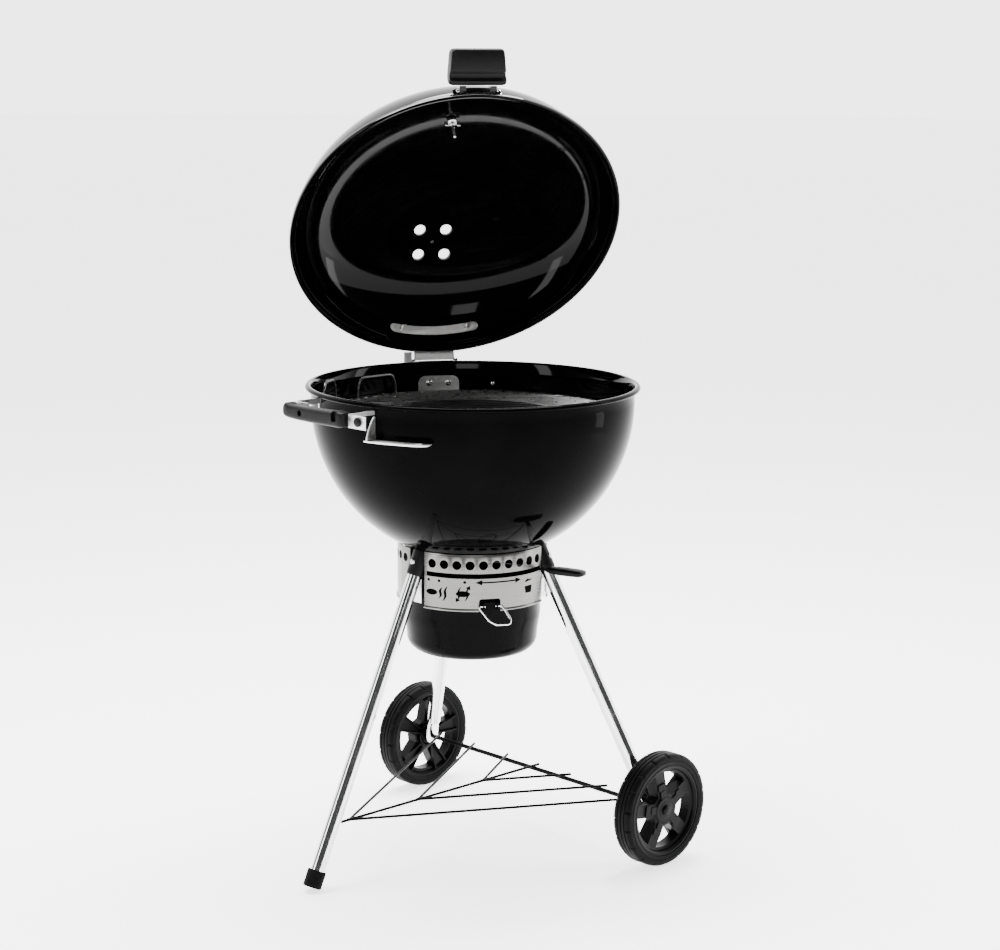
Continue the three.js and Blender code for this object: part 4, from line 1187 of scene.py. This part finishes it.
def make_lid_fittings():
    disc = made(turned, [
        (3.2, 0), (51.6, 0), (52, 0.4), (52, 0.9), (51.6, 1.2), (40, 1.2), (3.2, 1.2)], 96)
    cutters = vent_cutters(VENT_HOLE_R, LID_SWING @ on_lid(VENT_Y))
    mesh = carve(as_mesh("damper_disc", disc, LID_SWING @ on_lid(VENT_Y, 3)), cutters)
    piece("damper_disc", mesh, ALUMINISED, "damper", ("lid_damper",), sharp=40)
    tab = made(loft, [[(x, y, z) for x, y in ((-9, 50), (-6, 66), (6, 66), (9, 50))] for z in (0, 1.2)])
    slab(tab, (12, 1.4, 10), (0, 65, 5.4))
    soften(tab, 0.4, 2, 50)
    piece("damper_tab", tab, ALUMINISED, "damper", (), LID_SWING @ on_lid(VENT_Y, 3), 40)
    dial = made(turned, [
        (0, 0), (23, 0), (26.4, 1.6), (27, 3), (27, 8.6), (26, 11), (24, 12), (22.6, 11.4), (22, 10.2),
        (0, 10.2),
    ], 96)
    piece("gauge_case", dial, CHROME, "lid", ("thermometer",), LID_SWING @ on_lid(GAUGE_Y, 3.2), 40)
    face = made(turned, [(0, 10.3), (21.6, 10.3), (21.6, 10.7), (0, 10.7)], 96)
    piece("gauge_face", face, DIAL, "lid", (), LID_SWING @ on_lid(GAUGE_Y, 3.2), 40)
    ticks = bmesh.new()
    for k in range(21):
        size = (0.7, 4 if k % 5 == 0 else 2.4, 0.3)
        moved(slab(ticks, size, (0, 18.4 - size[1] / 2 + 2, 10.8)), spin(-130 + 13 * k))
    moved(slab(ticks, (1.2, 15, 0.4), (0, 6, 11)), spin(38))
    piece("gauge_marks", ticks, INK_AND_SHADE, "lid", (), LID_SWING @ on_lid(GAUGE_Y, 3.2), 40)
    nut = made(turned, [(5, 0), (8, 0), (9, 1), (9, 4), (8, 5), (5, 5)], 40)
    for sign in (-1, 1):
        slab(nut, (7, 2, 8), (sign * 11, 0, -1))
    soften(nut, 0.6, 2, 50)
    piece("gauge_wing_nut", nut, STEEL, "lid", (), LID_SWING @ on_lid(GAUGE_Y, -9.5), 40)


# ------------------------------------------------------------------ floor, lights and camera
def make_floor():
    bm = made(turned, [(0, 0), (FLOOR_R, 0), (FLOOR_R, -6), (0, -6)], 96)
    bm.transform(TO_ROW @ shift(0, 0, -0.4))
    mesh = bpy.data.meshes.new("floor")
    bm.to_mesh(mesh)
    bm.free()
    floor = bpy.data.objects.new("floor", mesh)
    material, tree, shader = new_material("floor_pale", (0.93, 0.93, 0.93), 0.9)
    vary_colour(tree, shader, noise_field(tree, 0.6, detail=2), (0.92, 0.92, 0.92), (0.94, 0.94, 0.94))
    shader.inputs["Emission Color"].default_value = (1, 1, 1, 1)
    shader.inputs["Emission Strength"].default_value = FLOOR_GLOW
    mesh.materials.append(material)
    bpy.context.scene.collection.objects.link(floor)


def aim(obj, target):
    obj.rotation_euler = (Vector(target) - obj.location).to_track_quat("-Z", "Y").to_euler()


def area_light(name, place, target, size, power, height=None):
    lamp = bpy.data.lights.new(name, "AREA")
    lamp.shape = "RECTANGLE"
    lamp.size = size
    lamp.size_y = height or size
    lamp.energy = power
    obj = bpy.data.objects.new(name, lamp)
    obj.location = TO_ROW @ Vector(place)
    aim(obj, TO_ROW @ Vector(target))
    bpy.context.scene.collection.objects.link(obj)


def make_sky():
    """Bright behind the grill and fading to dark in front, as in a studio with a lit backdrop."""
    world = bpy.data.worlds.new("studio")
    world.use_nodes = True
    tree = world.node_tree
    coords = tree.nodes.new("ShaderNodeTexCoord")
    turn = add_node(tree, "Mapping", {"Rotation": (0, 0, math.radians(14))})
    axes = tree.nodes.new("ShaderNodeSeparateXYZ")
    ramp = tree.nodes.new("ShaderNodeValToRGB")
    set_ramp(ramp.color_ramp, ((0.30, (0.02,) * 3), (0.66, (1, 1, 1)), (0.54, (0.10,) * 3)))
    tree.links.new(coords.outputs["Generated"], turn.inputs["Vector"])
    tree.links.new(turn.outputs["Vector"], axes.inputs["Vector"])
    tree.links.new(remap(tree, axes.outputs["Y"], 0, 1, -1, 1), ramp.inputs["Fac"])
    tree.links.new(ramp.outputs["Color"], tree.nodes["Background"].inputs["Color"])
    tree.nodes["Background"].inputs["Strength"].default_value = SKY_STRENGTH
    bpy.context.scene.world = world


def make_light():
    make_sky()
    area_light("overhead", (-100, 560, 3400), (0, 0, 700), 3.2, 400, 1.1)
    area_light("left_strip", (-2600, -900, 1500), (0, 0, 700), 0.5, 30, 2.4)
    area_light("right_strip", (2500, -300, 1300), (0, 0, 700), 0.4, 24, 2.4)
    area_light("front_soft", (-600, -3900, 2600), (0, 0, 500), 1.2, 26)


def make_camera():
    lens = bpy.data.cameras.new("camera")
    lens.lens = CAMERA_LENS
    lens.sensor_width = 36
    azimuth = math.radians(CAMERA_AZIMUTH)
    camera = bpy.data.objects.new("camera", lens)
    turn = (
        Matrix.Rotation(azimuth - math.radians(0.68), 4, "Z")
        @ Matrix.Rotation(math.radians(90 - 10.585), 4, "X")
        @ Matrix.Rotation(math.radians(0.351), 4, "Z")
    )
    place = TO_ROW @ Vector((
        math.sin(azimuth) * CAMERA_DISTANCE, -math.cos(azimuth) * CAMERA_DISTANCE, CAMERA_Z
    ))
    camera.matrix_world = Matrix.Translation(place) @ turn
    bpy.context.scene.collection.objects.link(camera)
    bpy.context.scene.camera = camera


# ------------------------------------------------------------------ CAD nodes that stay in view
CAD_FINISH = (
    (STEEL, (
        "damper_rivet", "hinge_base", "hinge_pin", "lid_hinge", "thermometer_stem",
        "grate_rest_1", "grate_rest_2", "grate_rest_3",
        "charcoal_rest_1", "charcoal_rest_2", "charcoal_rest_3",
    )),
    (ALUMINISED, ("sweeper_blade_1", "sweeper_blade_2", "sweeper_blade_3", "charcoal_grate")),
    (POT_PAINT, ("sweeper_spindle",)),
)


def finish_cad_nodes():
    """Gives each of those nodes a detailed finish in place of its plain one."""
    for material, names in CAD_FINISH:
        for name in names:
            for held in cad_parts[name].material_slots:
                held.material = material


# ------------------------------------------------------------------ assembly
make_bowl()
make_lid()
for side in LEGS:
    make_leg(side)
    make_socket(side)
make_foot_cap()
make_axle()
for side in ("right", "rear"):
    make_tyre(side)
    make_hub(side)
    make_wheel_centre(side)
make_rack()
for side, azimuth in PANELS.items():
    make_ring_panel(side, azimuth)
make_marks()
make_pot()
make_bail()
make_lever()
make_cooking_grate()
make_flap("rear", 0)
make_flap("front", 180)
make_insert()
make_side_handle()
make_accessory_bracket()
make_hinge_plates()
make_hinge_leaves()
make_lid_handle()
make_lid_fittings()
make_floor()
make_light()
make_camera()
finish_cad_nodes()
